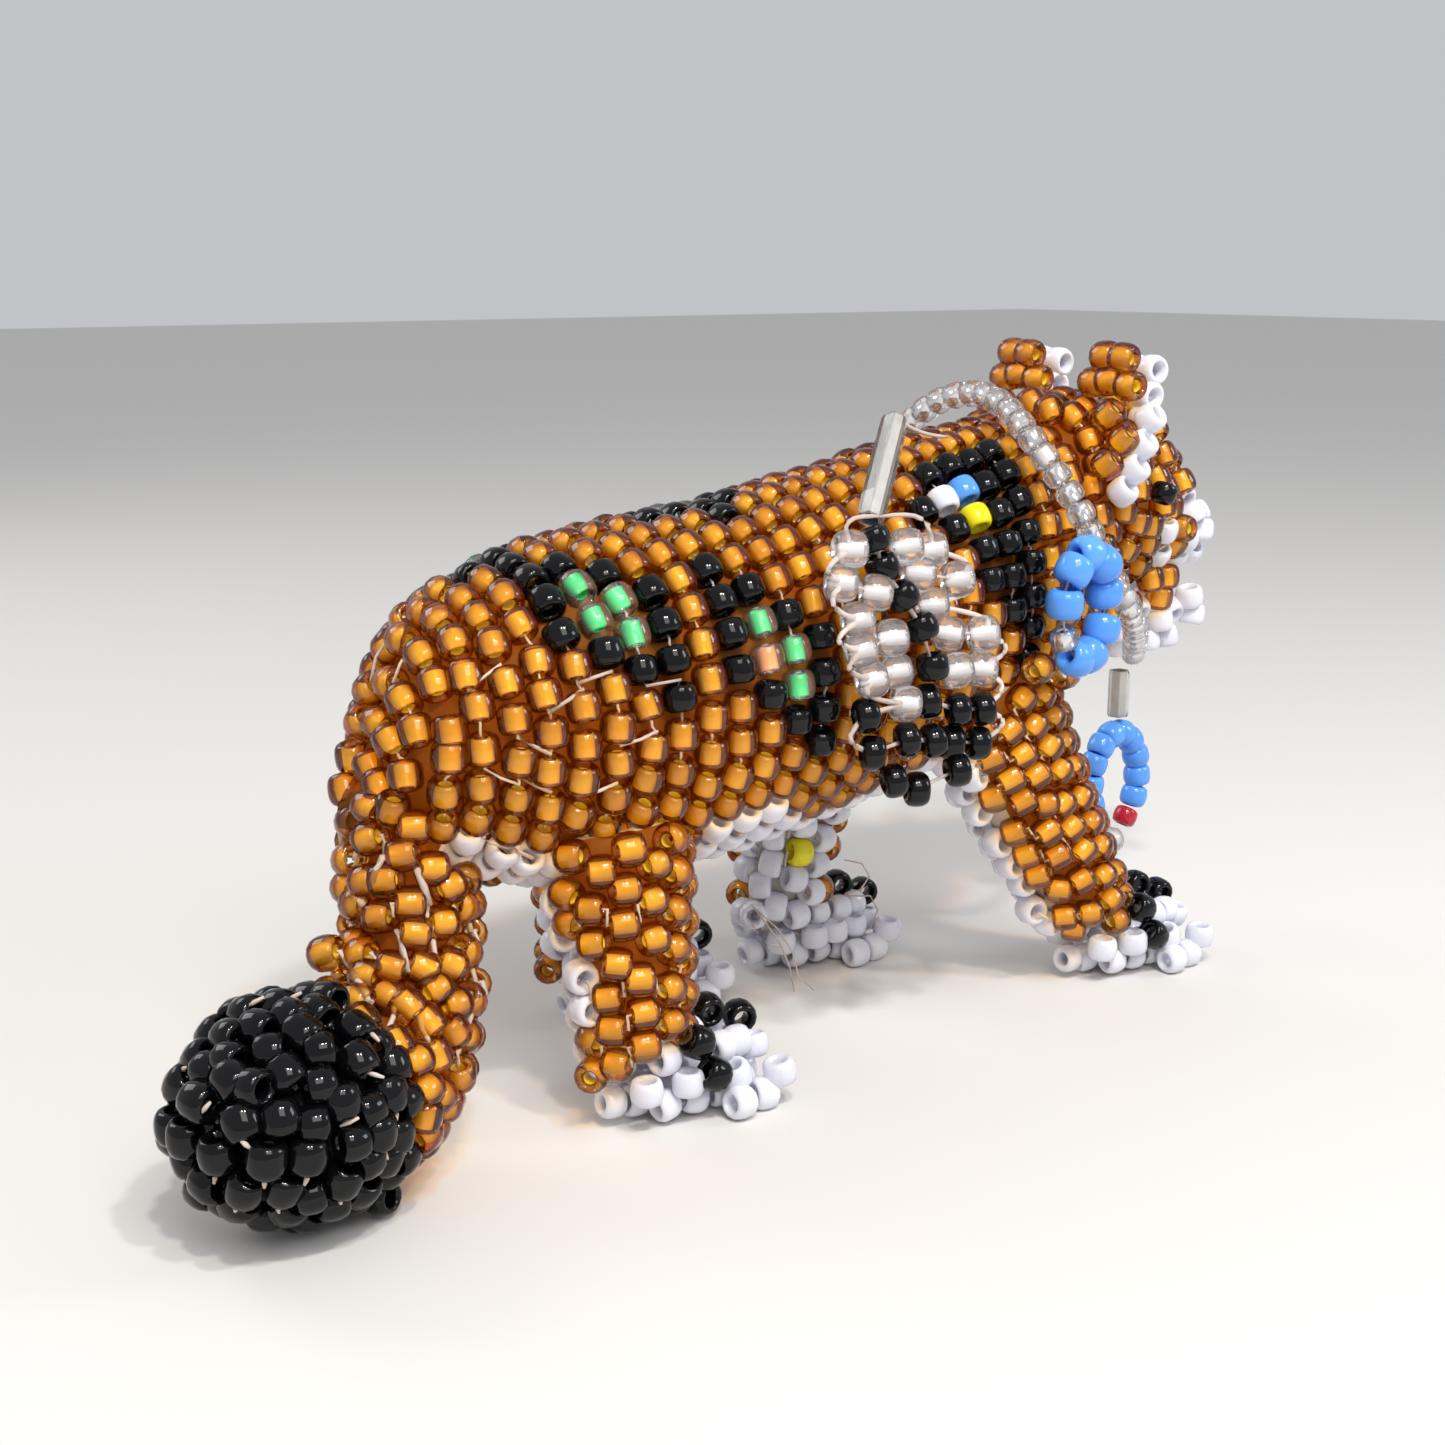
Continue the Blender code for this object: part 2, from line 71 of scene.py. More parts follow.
MM = 0.001
BEAD_DIAMETER = 2.2 * MM
BEAD_LENGTH = 1.66 * MM
HOLE_RADIUS = 0.5 * MM
THREAD_RADIUS = 0.1 * MM
CORE_DEPTH = 1.8 * MM  # how far under the beads' envelope the stuffing lies
SPOKES = 48
TORSO_SPACING, TORSO_PITCH, TORSO_SHIFT = 2.2 * MM, 2.22 * MM, 0.1
HAUNCH_RINGS = 9  # the rearmost rings, which are sewn less evenly
LEG_SPACING, LEG_PITCH = 2.22 * MM, 1.86 * MM
ROOM = 0.86  # a bead nearer than this share of a bead's size to one already laid is left out

CAMERA_AZIMUTH, CAMERA_ELEVATION = -35.98, 14.78
CAMERA_PLACE = (-73.9 * MM, -97.5 * MM, 52.2 * MM)
CAMERA_LENS = 46.4
CAMERA_SHIFT = (-0.0065, 0.0216)

dice = random.Random(7)


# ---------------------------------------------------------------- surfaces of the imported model


class Skin:
    """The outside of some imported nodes, read with rays and nearest points."""

    def __init__(self, *names):
        self.points, faces, self.owners = [], [], []
        for name in names:
            mesh = frame["nodes"][name].data
            start = len(self.points)
            self.points += [vertex.co.copy() for vertex in mesh.vertices]
            for polygon in mesh.polygons:
                faces.append([start + i for i in polygon.vertices])
                self.owners.append(name)
        self.tree = BVHTree.FromPolygons(self.points, faces)

    def owner(self, point):
        return self.owners[self.tree.find_nearest(point)[2]]

    def reach(self, centre, direction, limit):
        """How far the outside lies from the centre in a direction, or nan."""
        hit = self.tree.ray_cast(centre + direction * limit, -direction, limit)[0]
        return math.nan if hit is None else (hit - centre).length

    def end(self, direction, depth=1.0 * MM):
        """The middle of the part that reaches furthest in a direction."""
        direction = Vector(direction)
        furthest = max(p.dot(direction) for p in self.points)
        near = [p for p in self.points if p.dot(direction) > furthest - depth]
        return sum(near, Vector()) / len(near)


def spokes(heading, top):
    """Unit vectors round a heading, starting at its top side."""
    up = (top - heading * top.dot(heading)).normalized()
    side = heading.cross(up)
    turns = [2 * math.pi * k / SPOKES for k in range(SPOKES)]
    return [up * math.cos(a) + side * math.sin(a) for a in turns]


def march(skin, start, heading, top, limit, step=0.8 * MM, few=0.2, most=200, bend=0.28):
    """Walks through a tube and returns its stations: (centre, heading, reaches in each direction)."""
    stations = []
    centre, heading, top = Vector(start), Vector(heading).normalized(), Vector(top)
    half = SPOKES // 2
    while len(stations) < most:
        for _ in range(3):
            rays = spokes(heading, top)
            reaches = [skin.reach(centre, ray, limit) for ray in rays]
            pairs = [k for k in range(half) if reaches[k] + reaches[k + half] > 0]
            if len(pairs) < 0.6 * half:
                break
            shift = sum((rays[k] * (reaches[k] - reaches[k + half]) for k in pairs), Vector())
            centre += shift / len(pairs)
        if sum(r == r for r in reaches) < few * SPOKES:
            break
        if stations and len(pairs) >= 0.6 * half:
            travelled = (centre - stations[-1][0]).normalized()
            heading = (heading * (1 - bend) + travelled * bend).normalized()
        stations.append((centre.copy(), heading.copy(), reaches))
        centre = centre + heading * step
    return stations


def domed(stations, depth):
    """The stations and more, which close the tube with a dome of that share of its radius."""
    centre, heading, reaches = stations[-1]
    radius = np.nanmean(reaches)
    more = []
    for degrees in (20, 38, 55, 70, 82):
        turn = math.radians(degrees)
        shrunk = [np.nan_to_num(r, nan=radius) * math.cos(turn) for r in reaches]
        more.append((centre + heading * (depth * radius * math.sin(turn)), heading, shrunk))
    return stations + more


class Tube:
    """A smooth grid of points over a marched tube, with lengths measured along its outside."""

    def __init__(self, stations, top, whole=False):
        reaches = np.array([s[2] for s in stations], float)
        middle = np.nanmedian(reaches, axis=1)[:, None]
        seen = ~np.isnan(reaches) & (reaches > 0.45 * middle) & (reaches < 1.9 * middle)
        shown = seen.copy()
        for gap in (1, 2):
            shown |= np.roll(shown, gap, 1) & np.roll(shown, -gap, 1)
        shown[1:-1] |= shown[:-2] & shown[2:]
        if whole:
            shown[:] = True
        for row, mask in zip(reaches, seen):
            known = np.flatnonzero(mask)
            around = np.concatenate([known - SPOKES, known, known + SPOKES])
            row[:] = np.interp(np.arange(SPOKES), around, np.tile(row[known], 3))
        for _ in range(2):
            reaches = (np.roll(reaches, 1, 1) + 2 * reaches + np.roll(reaches, -1, 1)) / 4
            padded = np.vstack([reaches[:1], reaches, reaches[-1:]])
            reaches = (padded[:-2] + 2 * reaches + padded[2:]) / 4
        self.centres = np.array([tuple(s[0]) for s in stations])
        rays = np.array([[tuple(r) for r in spokes(s[1], Vector(top))] for s in stations])
        self.grid = self.centres[:, None, :] + rays * reaches[:, :, None]
        self.seen = shown.astype(float)  # where a ray met the nodes, so that a bead belongs there
        rise = np.diff(reaches.mean(1))
        self.lengths = np.concatenate(
            [[0.0], np.cumsum(np.hypot(np.linalg.norm(np.diff(self.centres, axis=0), axis=1), rise))]
        )
        self.length = self.lengths[-1]
        self.facing = 1.0
        halfway = self.length / 2
        here = self.ring(halfway)[0]
        self.facing = float(np.sign((self.normals(halfway) * (here - here.mean(0))).sum()))

    def ring(self, length, depth=0.0):
        """Points round the tube at a length along it, that deep under its outside."""
        i = min(max(int(np.searchsorted(self.lengths, length)) - 1, 0), len(self.lengths) - 2)
        f = np.clip((length - self.lengths[i]) / (self.lengths[i + 1] - self.lengths[i]), 0.0, 1.0)
        points = self.grid[i] * (1 - f) + self.grid[i + 1] * f
        seen = self.seen[i] * (1 - f) + self.seen[i + 1] * f
        if depth:
            points = points - self.normals(length) * depth
        return points, seen

    def normals(self, length):
        ahead = self.ring(min(length + 0.7 * MM, self.length))[0]
        behind = self.ring(max(length - 0.7 * MM, 0.0))[0]
        here = self.ring(length)[0]
        round_way = np.roll(here, -1, 0) - np.roll(here, 1, 0)
        normals = np.cross(round_way, ahead - behind)
        normals /= np.maximum(np.linalg.norm(normals, axis=1), 1e-12)[:, None]
        return normals * self.facing

    def at(self, length, share):
        """(point, outward, round the tube, seen) at a share of the way round from its top."""
        points, seen = self.ring(length)
        normals = self.normals(length)
        middles = points - normals * (BEAD_DIAMETER / 2)
        closed = np.vstack([middles, middles[:1]])
        run = np.concatenate([[0.0], np.cumsum(np.linalg.norm(np.diff(closed, axis=0), axis=1))])
        spot = (share % 1.0) * run[-1]
        k = min(int(np.searchsorted(run, spot, side="right")) - 1, SPOKES - 1)
        f = (spot - run[k]) / (run[k + 1] - run[k])
        nxt = (k + 1) % SPOKES
        point = Vector(points[k] * (1 - f) + points[nxt] * f)
        outward = Vector(normals[k] * (1 - f) + normals[nxt] * f).normalized()
        round_way = Vector(points[nxt] - points[k])
        round_way = (round_way - outward * round_way.dot(outward)).normalized()
        return point, outward, round_way, seen[k] * (1 - f) + seen[nxt] * f

    def girth(self, length, depth):
        points = self.ring(length, depth)[0]
        return float(np.linalg.norm(points - np.roll(points, 1, 0), axis=1).sum())


# ---------------------------------------------------------------- beads


def bead_profile(radius, length, hole):
    """(along the hole, from its axis) points of half a bead's outside, from the hole's edge outwards."""
    half, wall = length / 2, radius - hole
    belly = hole + 0.3 * wall
    curve = [(0.6 * half, hole), (0.93 * half, hole + 0.2 * wall)]
    for degrees in (6, 30, 52, 72, 90):
        turn = math.radians(degrees)
        x = half * max(math.cos(turn), 0.0) ** 0.82
        curve.append((x, belly + (radius - belly) * math.sin(turn) ** 0.82))
    return curve


def grid_faces(rows, sides, closed=False):
    """Faces between rings of points, from each ring to the next, and back to the first if closed."""
    faces = []
    for row in range(rows if closed else rows - 1):
        here, below = row * sides, (row + 1) % rows * sides
        for k in range(sides):
            nxt = (k + 1) % sides
            faces.append((here + k, here + nxt, below + nxt, below + k))
    return faces


def bead_template(radius, length, hole, sides=14):
    """(points, faces, material index of each face) of a bead with its hole along X."""
    profile = bead_profile(radius, length, hole)
    outline = profile + [(-x, r) for x, r in reversed(profile[:-1])]
    turns = [2 * math.pi * k / sides for k in range(sides)]
    points = [(x, r * math.sin(a), r * math.cos(a)) for x, r in outline for a in turns]
    faces = grid_faces(len(outline), sides, closed=True)
    slots = np.zeros(len(faces))
    slots[-sides:] = 1
    return np.array(points), np.array(faces), slots


SHAPES = {
    "seed": bead_template(BEAD_DIAMETER / 2, BEAD_LENGTH, HOLE_RADIUS),
    "lined": bead_template(BEAD_DIAMETER / 2, 1.84 * MM, 0.41 * MM),
    "round": bead_template(1.16 * MM, 2.0 * MM, 0.36 * MM),
    "clear": bead_template(1.18 * MM, 1.95 * MM, 0.30 * MM),
    "disc": bead_template(1.12 * MM, 1.5 * MM, 0.4 * MM),
    "large": bead_template(1.32 * MM, 2.05 * MM, 0.42 * MM),
    "small": bead_template(0.98 * MM, 1.42 * MM, 0.42 * MM),
    "ring": bead_template(1.1 * MM, 1.7 * MM, 0.4 * MM),
}
# What a bead kind's outside and hole wall are made of.
FINISHES = {
    "amber": ("amber_glass", "amber_lining"),
    "white": ("white_glass", "white_glass"),
    "black": ("black_glass", "black_glass"),
    "green": ("clear_glass", "green_lining"),
    "mint": ("clear_glass", "mint_lining"),
    "orange": ("clear_glass", "orange_lining"),
    "blue": ("blue_glass", "blue_glass"),
    "yellow": ("yellow_glass", "yellow_glass"),
    "red": ("red_glass", "red_glass"),
    "clear": ("crystal_glass", "frost_lining"),
    "silver": ("crystal_glass", "silver_lining"),
}

LINED = ("amber", "green", "mint", "orange")


class Bead:
    def __init__(self, centre, axis, outward, kind, node, shape="seed", scale=1.0):
        self.centre, self.axis, self.outward = Vector(centre), Vector(axis), Vector(outward)
        self.kind, self.node, self.shape, self.scale = kind, node, shape, scale

    def matrix(self):
        x = self.axis.normalized()
        y = self.outward.cross(x).normalized()
        z = x.cross(y)
        return np.array([tuple(x), tuple(y), tuple(z)]).T * self.scale


beads = []
cells = {}  # beads by the cube of space that holds their centre
threads = {}  # body name: list of (points, radius)


def cell_of(place):
    return tuple(math.floor(c / BEAD_DIAMETER) for c in place)


def add_bead(bead):
    beads.append(bead)
    cells.setdefault(cell_of(bead.centre), []).append(bead)


def crowded(centre, room=ROOM):
    """Whether a bead's centre would lie within that share of the full distance from one already laid."""
    i, j, k = cell_of(centre)
    for cell in ((i + a, j + b, k + c) for a in (-1, 0, 1) for b in (-1, 0, 1) for c in (-1, 0, 1)):
        for other in cells.get(cell, ()):
            apart = centre - other.centre
            along = apart.dot(other.axis)
            across = math.sqrt(max(apart.length_squared - along * along, 0.0))
            if (along / BEAD_LENGTH) ** 2 + (across / BEAD_DIAMETER) ** 2 < room * room:
                return True
    return False


def jiggled(vector, amount):
    """The unit vector turned by up to about that many degrees."""
    turn = math.tan(math.radians(amount))
    return (vector + Vector([dice.uniform(-turn, turn) for _ in range(3)])).normalized()


def add_thread(body, points, radius=THREAD_RADIUS):
    threads.setdefault(body, []).append(([Vector(p) for p in points], radius))


def bowed(start, end, bow, steps):
    """Points of a thread that bows out by that much halfway."""
    shares = [k / steps for k in range(steps + 1)]
    return [start.lerp(end, t) + bow * math.sin(math.pi * t) for t in shares]


KIND_OF_NODE = {
    "hide": "amber", "outer": "amber", "inner": "white", "paw": "white", "claws": "black",
    "panel": "white", "muzzle": "white", "jaw": "white", "tip": "black",
}


def kind_of(node):
    """The bead colour that a node has where no chart says otherwise."""
    last = node.split("_")[-1]
    if "rosette" in node or "shoulder_patch" in node:
        return "amber"
    return KIND_OF_NODE.get(last, "amber")


class Weave:
    """Rings of beads round a tube, whose bead (ring, number) a chart can colour."""

    def __init__(self, tube, skin, spacing, pitch, shift=0.0, stagger=0.0, loose=0.0, first=0.5):
        self.tube, self.skin, self.spacing, self.pitch = tube, skin, spacing, pitch
        self.beads, self.counts, self.phases = {}, [], []
        radius = BEAD_DIAMETER / 2
        rings = max(int((tube.length - first * spacing) / spacing) + 1, 1)
        phase = 0.0
        for i in range(rings):
            length = (first + i) * spacing
            wanted = tube.girth(min(length, tube.length), radius) / pitch
            if stagger:
                count = 2 * max(round(wanted / 2), 2)
            elif self.counts and abs(wanted - self.counts[-1]) < 0.8:
                count = self.counts[-1]
            else:
                count = max(round(wanted), 1)
            self.counts.append(count)
            self.phases.append(phase)
            for j in range(count):
                self.lay(i, j, count, length + (stagger * spacing if j % 2 else 0.0), phase, loose)
            phase -= shift

    def lay(self, i, j, count, length, phase, loose):
        if length > self.tube.length:
            return
        loose = loose(i) if callable(loose) else loose
        share = (j + phase + dice.uniform(-0.12, 0.12) * loose) / count
        length = min(max(length + dice.uniform(-0.22, 0.22) * loose * MM, 0.0), self.tube.length)
        point, outward, round_way, seen = self.tube.at(length, share)
        if seen < 0.5:
            return
        node = self.skin.owner(point)
        centre = point - outward * (BEAD_DIAMETER / 2 + dice.uniform(-0.1, 0.14) * MM * (0.4 + loose))
        axis = jiggled(round_way, 3.0 + 7.0 * loose)
        scale = dice.uniform(0.97, 1.03)
        shape = "round" if node == "tail_tip" else "seed"
        self.beads[i, j] = Bead(centre, axis, jiggled(outward, 3.0), kind_of(node), node, shape, scale)

    def neighbour(self, ring, number, rings, numbers):
        """The (ring, number) that lies some rings on and some beads round."""
        target = ring + rings
        if not 0 <= target < len(self.counts):
            return None
        share = (number + self.phases[ring]) / self.counts[ring]
        middle = round(share * self.counts[target] - self.phases[target])
        return target, (middle + numbers) % self.counts[target]

    def paint(self, place, chart, mirror=False, ahead_by=0.0, down_by=0.0):
        """Colours beads by a chart, which has (row of the first, colours) for each ring from the rear."""
        nearest = min(self.beads, key=lambda key: (self.beads[key].centre - place).length)
        bead = self.beads[nearest]
        ahead = (place - bead.centre).dot(bead.outward.cross(bead.axis)) / self.spacing
        first = round(nearest[0] + ahead + ahead_by - (len(chart) - 1) / 2)
        down = (place - bead.centre).dot(bead.axis) / self.pitch + (-down_by if mirror else down_by)
        share = (nearest[1] + down + self.phases[nearest[0]]) / self.counts[nearest[0]]
        for ring, (row, colours) in enumerate(chart, first):
            if not 0 <= ring < len(self.counts):
                continue
            middle = round(share * self.counts[ring] - self.phases[ring])
            for k, letter in enumerate(colours):
                number = middle + (-(row + k) if mirror else row + k)
                key = (ring, number % self.counts[ring])
                if key in self.beads:
                    self.beads[key].kind = LETTERS[letter]

    def keep(self, room=ROOM, inside=None):
        """Adds the beads that have room to the model."""
        kept = []
        for key in sorted(self.beads):
            bead = self.beads[key]
            if crowded(bead.centre, room) or (inside and inside(bead.centre)):
                continue
            kept.append((key, bead))
            add_bead(bead)
        self.beads = dict(kept)

    def sew(self, zigzag=0.0, straight=1.0, radius=THREAD_RADIUS):
        """Threads from each bead's hole to the next in its ring, and some to the ring after."""
        for (i, j), bead in sorted(self.beads.items()):
            after = self.beads.get((i, (j + 1) % self.counts[i]))
            if after and dice.random() < straight:
                self.stitch(bead, after, 0.05 * MM, radius)
            on = self.neighbour(i, j, 1, 1)
            other = self.beads.get(on) if on else None
            if other and dice.random() < (zigzag(bead) if callable(zigzag) else zigzag):
                self.stitch(bead, other, dice.uniform(0.3, 0.75) * MM, radius * dice.uniform(1.0, 1.5))

    def stitch(self, bead, other, lift, radius):
        reach = 0.40 * BEAD_LENGTH
        start = bead.centre + bead.axis * reach
        end = other.centre - other.axis * reach
        if (end - start).length > 3.4 * MM:
            return
        outward = (bead.outward + other.outward).normalized()
        middle = (start + end) / 2 + outward * lift
        a = start + bead.axis * 0.35 * MM + outward * lift * 0.6
        b = end - other.axis * 0.35 * MM + outward * lift * 0.6
        add_thread("figure", [start, a, middle, b, end], radius)


def darn(heading, *nodes, room=0.88, loose=0.8):
    """Beads where the nodes' outside still shows, sewn round a heading."""
    skin = Skin(*nodes)
    heading = Vector(heading)
    for name in nodes:
        mesh = frame["nodes"][name].data
        corners = [[mesh.vertices[i].co for i in polygon.vertices] for polygon in mesh.polygons]
        for polygon, ends in zip(mesh.polygons, corners):
            middle = sum(ends, Vector()) / len(ends)
            rims = ends + [a.lerp(b, 0.5) for a, b in zip(ends, ends[1:] + ends[:1])]
            for spot in [middle] + [middle.lerp(rim, share) for share in (0.35, 0.7) for rim in rims]:
                outward = polygon.normal
                centre = spot - outward * (BEAD_DIAMETER / 2)
                deeper = skin.tree.ray_cast(spot - outward * 0.3 * MM, -outward, 2.4 * MM)[0]
                walled = deeper is not None and (deeper - spot).length < 1.2 * MM
                if walled or crowded(centre, room) or covered(spot, outward, name):
                    continue
                axis = heading.cross(outward)
                axis = axis.normalized() if axis.length > 0.2 else outward.orthogonal().normalized()
                add_bead(Bead(centre, jiggled(axis, 10 * loose), outward, kind_of(name), name))


def mend(node, *spots):
    """Beads over bare spots in a crease, measured in millimetres from the node's low corner."""
    skin = Skin(node)
    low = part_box(node)[0]
    for spot in spots:
        place, outward = skin.tree.find_nearest(low + Vector(spot) * MM)[:2]
        centre = place - outward * 0.7 * MM
        if not crowded(centre, 0.62):
            axis = jiggled(outward.cross(Z).normalized(), 12)
            add_bead(Bead(centre, axis, outward, kind_of(node), node))


TAIL_CREASE = (
    (4.5, 5.8, 12.6), (3.8, 7.6, 13.3), (3.5, 5.9, 11.8),
    (4.3, 6.7, 13.2), (5.3, 5.6, 13.0), (2.9, 9.0, 12.2),
)

LETTERS = {
    "K": "black", "G": "green", "M": "mint", "O": "orange", "W": "white", "B": "blue", "Y": "yellow",
}
RUMP_CHART = [(-2, "KKKK"), (-2, "KGGK"), (-1, "KGGK"), (0, "KKKK")]
FLANK_CHART = [(-2, "KKKK"), (-2, "KGOK"), (-1, "KGGK"), (0, "KKKK")]
SPINE_CHART = [(-2, "KKK"), (-3, "KMMK"), (-3, "KMMKK"), (-1, "KK")]
PATCH_CHART = [(-2, "K"), (-3, "KWK"), (-3, "KBYKK"), (-3, "KKKKKK"), (-3, "KKKKKKKK")]


everything = Skin(*frame["nodes"])


def covered(spot, outward, own):
    """Whether another part lies right over a spot of the outside."""
    hit = everything.tree.ray_cast(spot + outward * 0.05 * MM, outward, 2.0 * MM)
    return hit[0] is not None and everything.owners[hit[2]].split("_")[0] != "feather"


def middle_of(*nodes):
    lows, highs = zip(*(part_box(node) for node in nodes))
    low = Vector([min(c) for c in zip(*lows)])
    high = Vector([max(c) for c in zip(*highs)])
    return (low + high) / 2


# ---------------------------------------------------------------- the animal

X, Y, Z = Vector((1, 0, 0)), Vector((0, 1, 0)), Vector((0, 0, 1))
SIDES = {"right": -1.0, "left": 1.0}
LEGS = ("hind_right", "front_right", "hind_left", "front_left")
cores = {}  # piece name: (tube, replaced node)


def lay_head():
    skin = Skin("head_hide")
    for side, sign in SIDES.items():
        eye = middle_of(f"eye_bead_{side}") - Vector((1.5, 0.5 * sign, 0.1)) * MM
        add_bead(Bead(eye, Vector((0.5, 0, 1)), Y * sign, "black", f"eye_bead_{side}", "small"))
    stations = march(skin, skin.end(X) - X * 0.4 * MM, -X, Z, 12 * MM, few=0.12)
    tube = Tube(stations, Z)
    cores["head_stuffing"] = (tube, "head_core")
    weave = Weave(tube, skin, 2.25 * MM, 2.1 * MM, 0.5, loose=0.35, first=0.45)
    for bead in weave.beads.values():
        if bead.centre.x > 32.6 * MM + 0.78 * (34.0 * MM - bead.centre.z) and bead.centre.z < 34.0 * MM:
            bead.kind = "white"
    weave.keep()
    weave.sew(0.35)
    for name in ("muzzle", "lower_jaw"):
        part = Skin(name)
        walk = march(part, part.end(-X) + X * 0.4 * MM, X, Z, 8 * MM)
        shell = Tube(domed(walk, 0.5), Z)
        snout = Weave(shell, part, 2.1 * MM, 2.0 * MM, 0.5, loose=0.2, first=0.5)
        snout.keep(0.8)
    for side, sign in SIDES.items():
        low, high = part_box(f"ear_{side}")
        for node, kind in ((f"ear_{side}", "amber"), (f"ear_lining_{side}", "white")):
            for ahead, aside, up in EAR_FOLD[kind]:
                edge = low.y if sign < 0 else high.y
                place = Vector((low.x + ahead * MM, edge - sign * aside * MM, low.z + up * MM))
                add_bead(Bead(place, jiggled(Vector((0.3, sign, 0.9)), 9), Y * sign, kind, node))
            lay_sheet(node, kind)
    lay_throat()
    nose = middle_of("nose_bead")
    add_bead(Bead(nose - X * 0.3 * MM, Y, X, "black", "nose_bead"))


# Beads where an ear folds down the side of the head: ahead, inwards and up from its lower outer corner.
EAR_FOLD = {
    "amber": [(-0.4, 1.3, 3.0), (-0.3, 0.0, 1.3), (-1.9, -0.1, -0.3)],
    "white": [(2.2, -0.2, 2.7), (1.3, -0.4, 0.9), (0.5, -0.5, -0.8), (-0.5, -0.4, -2.3)],
}


def lay_throat():
    """Beads that close the cheeks and the throat down to the jaw."""
    low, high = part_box("lower_jaw")
    middle = (low + high) / 2
    rows = (  # up, ahead of the first, how many, how far aside, colour, node
        (5.3, -2.2, 4, 3.9, "amber", "head_hide"),
        (3.6, -2.4, 4, 3.6, "amber", "head_hide"),
        (3.2, 5.4, 2, 3.0, "white", "lower_jaw"),
        (1.8, -1.8, 6, 3.2, "white", "lower_jaw"),
        (0.3, -0.6, 4, 2.3, "white", "lower_jaw"),
    )
    for up, first, count, wide, kind, node in rows:
        for k in range(count):
            for sign in SIDES.values():
                narrow = 1.0 - 0.05 * k
                aside = sign * wide * narrow
                place = Vector((low.x, middle.y, low.z)) + Vector((first + 1.95 * k, aside, up)) * MM
                place += Vector([dice.uniform(-0.25, 0.25) for _ in range(3)]) * MM
                if not crowded(place, 0.8):
                    outward = Vector((0, sign, -0.4)).normalized()
                    add_bead(Bead(place, jiggled(Z, 12), outward, kind, node))


def lay_sheet(node, kind):
    """Rows of beads in an ear, which is one bead thick."""
    skin = Skin(node)
    low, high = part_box(node)
    rows = max(int((high.z - low.z) / (1.8 * MM)), 1)
    for row in range(rows):
        z = high.z - (row + 0.6) * 1.8 * MM
        near = [p for p in skin.points if abs(p.z - z) < 1.6 * MM]
        if not near:
            continue
        wide = max(p.y for p in near) - min(p.y for p in near)
        middle_y = (max(p.y for p in near) + min(p.y for p in near)) / 2
        middle_x = (max(p.x for p in near) + min(p.x for p in near)) / 2
        count = max(round((wide - 0.3 * MM) / (1.75 * MM)), 1)
        for k in range(count):
            y = middle_y + (k - (count - 1) / 2) * 1.72 * MM
            place = Vector((middle_x, y, z + dice.uniform(-0.2, 0.2) * MM))
            bulge = (1.0 - (2 * (k + 0.5) / count - 1) ** 2) * 0.35 * MM
            place.x += -bulge if kind == "amber" else bulge * 0.3
            if not crowded(place, 0.7):
                add_bead(Bead(place, jiggled(Y, 9.0), jiggled(-X, 9.0), kind, node, scale=1.04))


def lay_torso(head_skin):
    nodes = ["torso_hide", "belly_panel", "spine_rosette"]
    nodes += [f"{n}_{s}" for n in ("rump_rosette", "flank_rosette", "shoulder_patch") for s in SIDES]
    skin = Skin(*nodes)
    walk = march(skin, skin.end(-X, 0.5 * MM) + X * 0.25 * MM, X, Z, 20 * MM, step=0.7 * MM, bend=0.0)
    tube = Tube(walk, Z, whole=True)
    cores["torso_stuffing"] = (tube, "torso_core")

    def loose(ring):
        return 0.75 if ring < HAUNCH_RINGS else 0.2

    def haunch_stitches(bead):
        return 0.3 if bead.centre.x < -14 * MM and bead.centre.z < 30 * MM else 0.0

    weave = Weave(tube, skin, TORSO_SPACING, TORSO_PITCH, TORSO_SHIFT, loose=loose, first=0.3)
    for side in SIDES:
        mirror = side == "left"
        weave.paint(middle_of(f"rump_rosette_{side}"), RUMP_CHART, mirror, -0.2, -0.7)
        weave.paint(middle_of(f"flank_rosette_{side}"), FLANK_CHART, mirror, 1.2, -0.7)
        weave.paint(middle_of(f"shoulder_patch_{side}"), PATCH_CHART, mirror)
    weave.paint(middle_of("spine_rosette"), SPINE_CHART, False, 1.0)

    for bead in weave.beads.values():
        x, z = bead.centre.x, bead.centre.z
        under_the_rump = bead.outward.z < -0.55 and x < -16 * MM
        before_the_haunch = -10 * MM < x < -3 * MM and z < 18.5 * MM
        if bead.kind == "amber" and (under_the_rump or before_the_haunch):
            bead.kind = "white"

    def hidden(place):
        near = head_skin.tree.find_nearest(place)
        return near[3] < 0.7 * MM or (place - near[0]).dot(near[1]) < 0 and near[3] < 4 * MM

    weave.keep(0.82, inside=hidden)
    weave.sew(haunch_stitches, 0.4, 0.085 * MM)


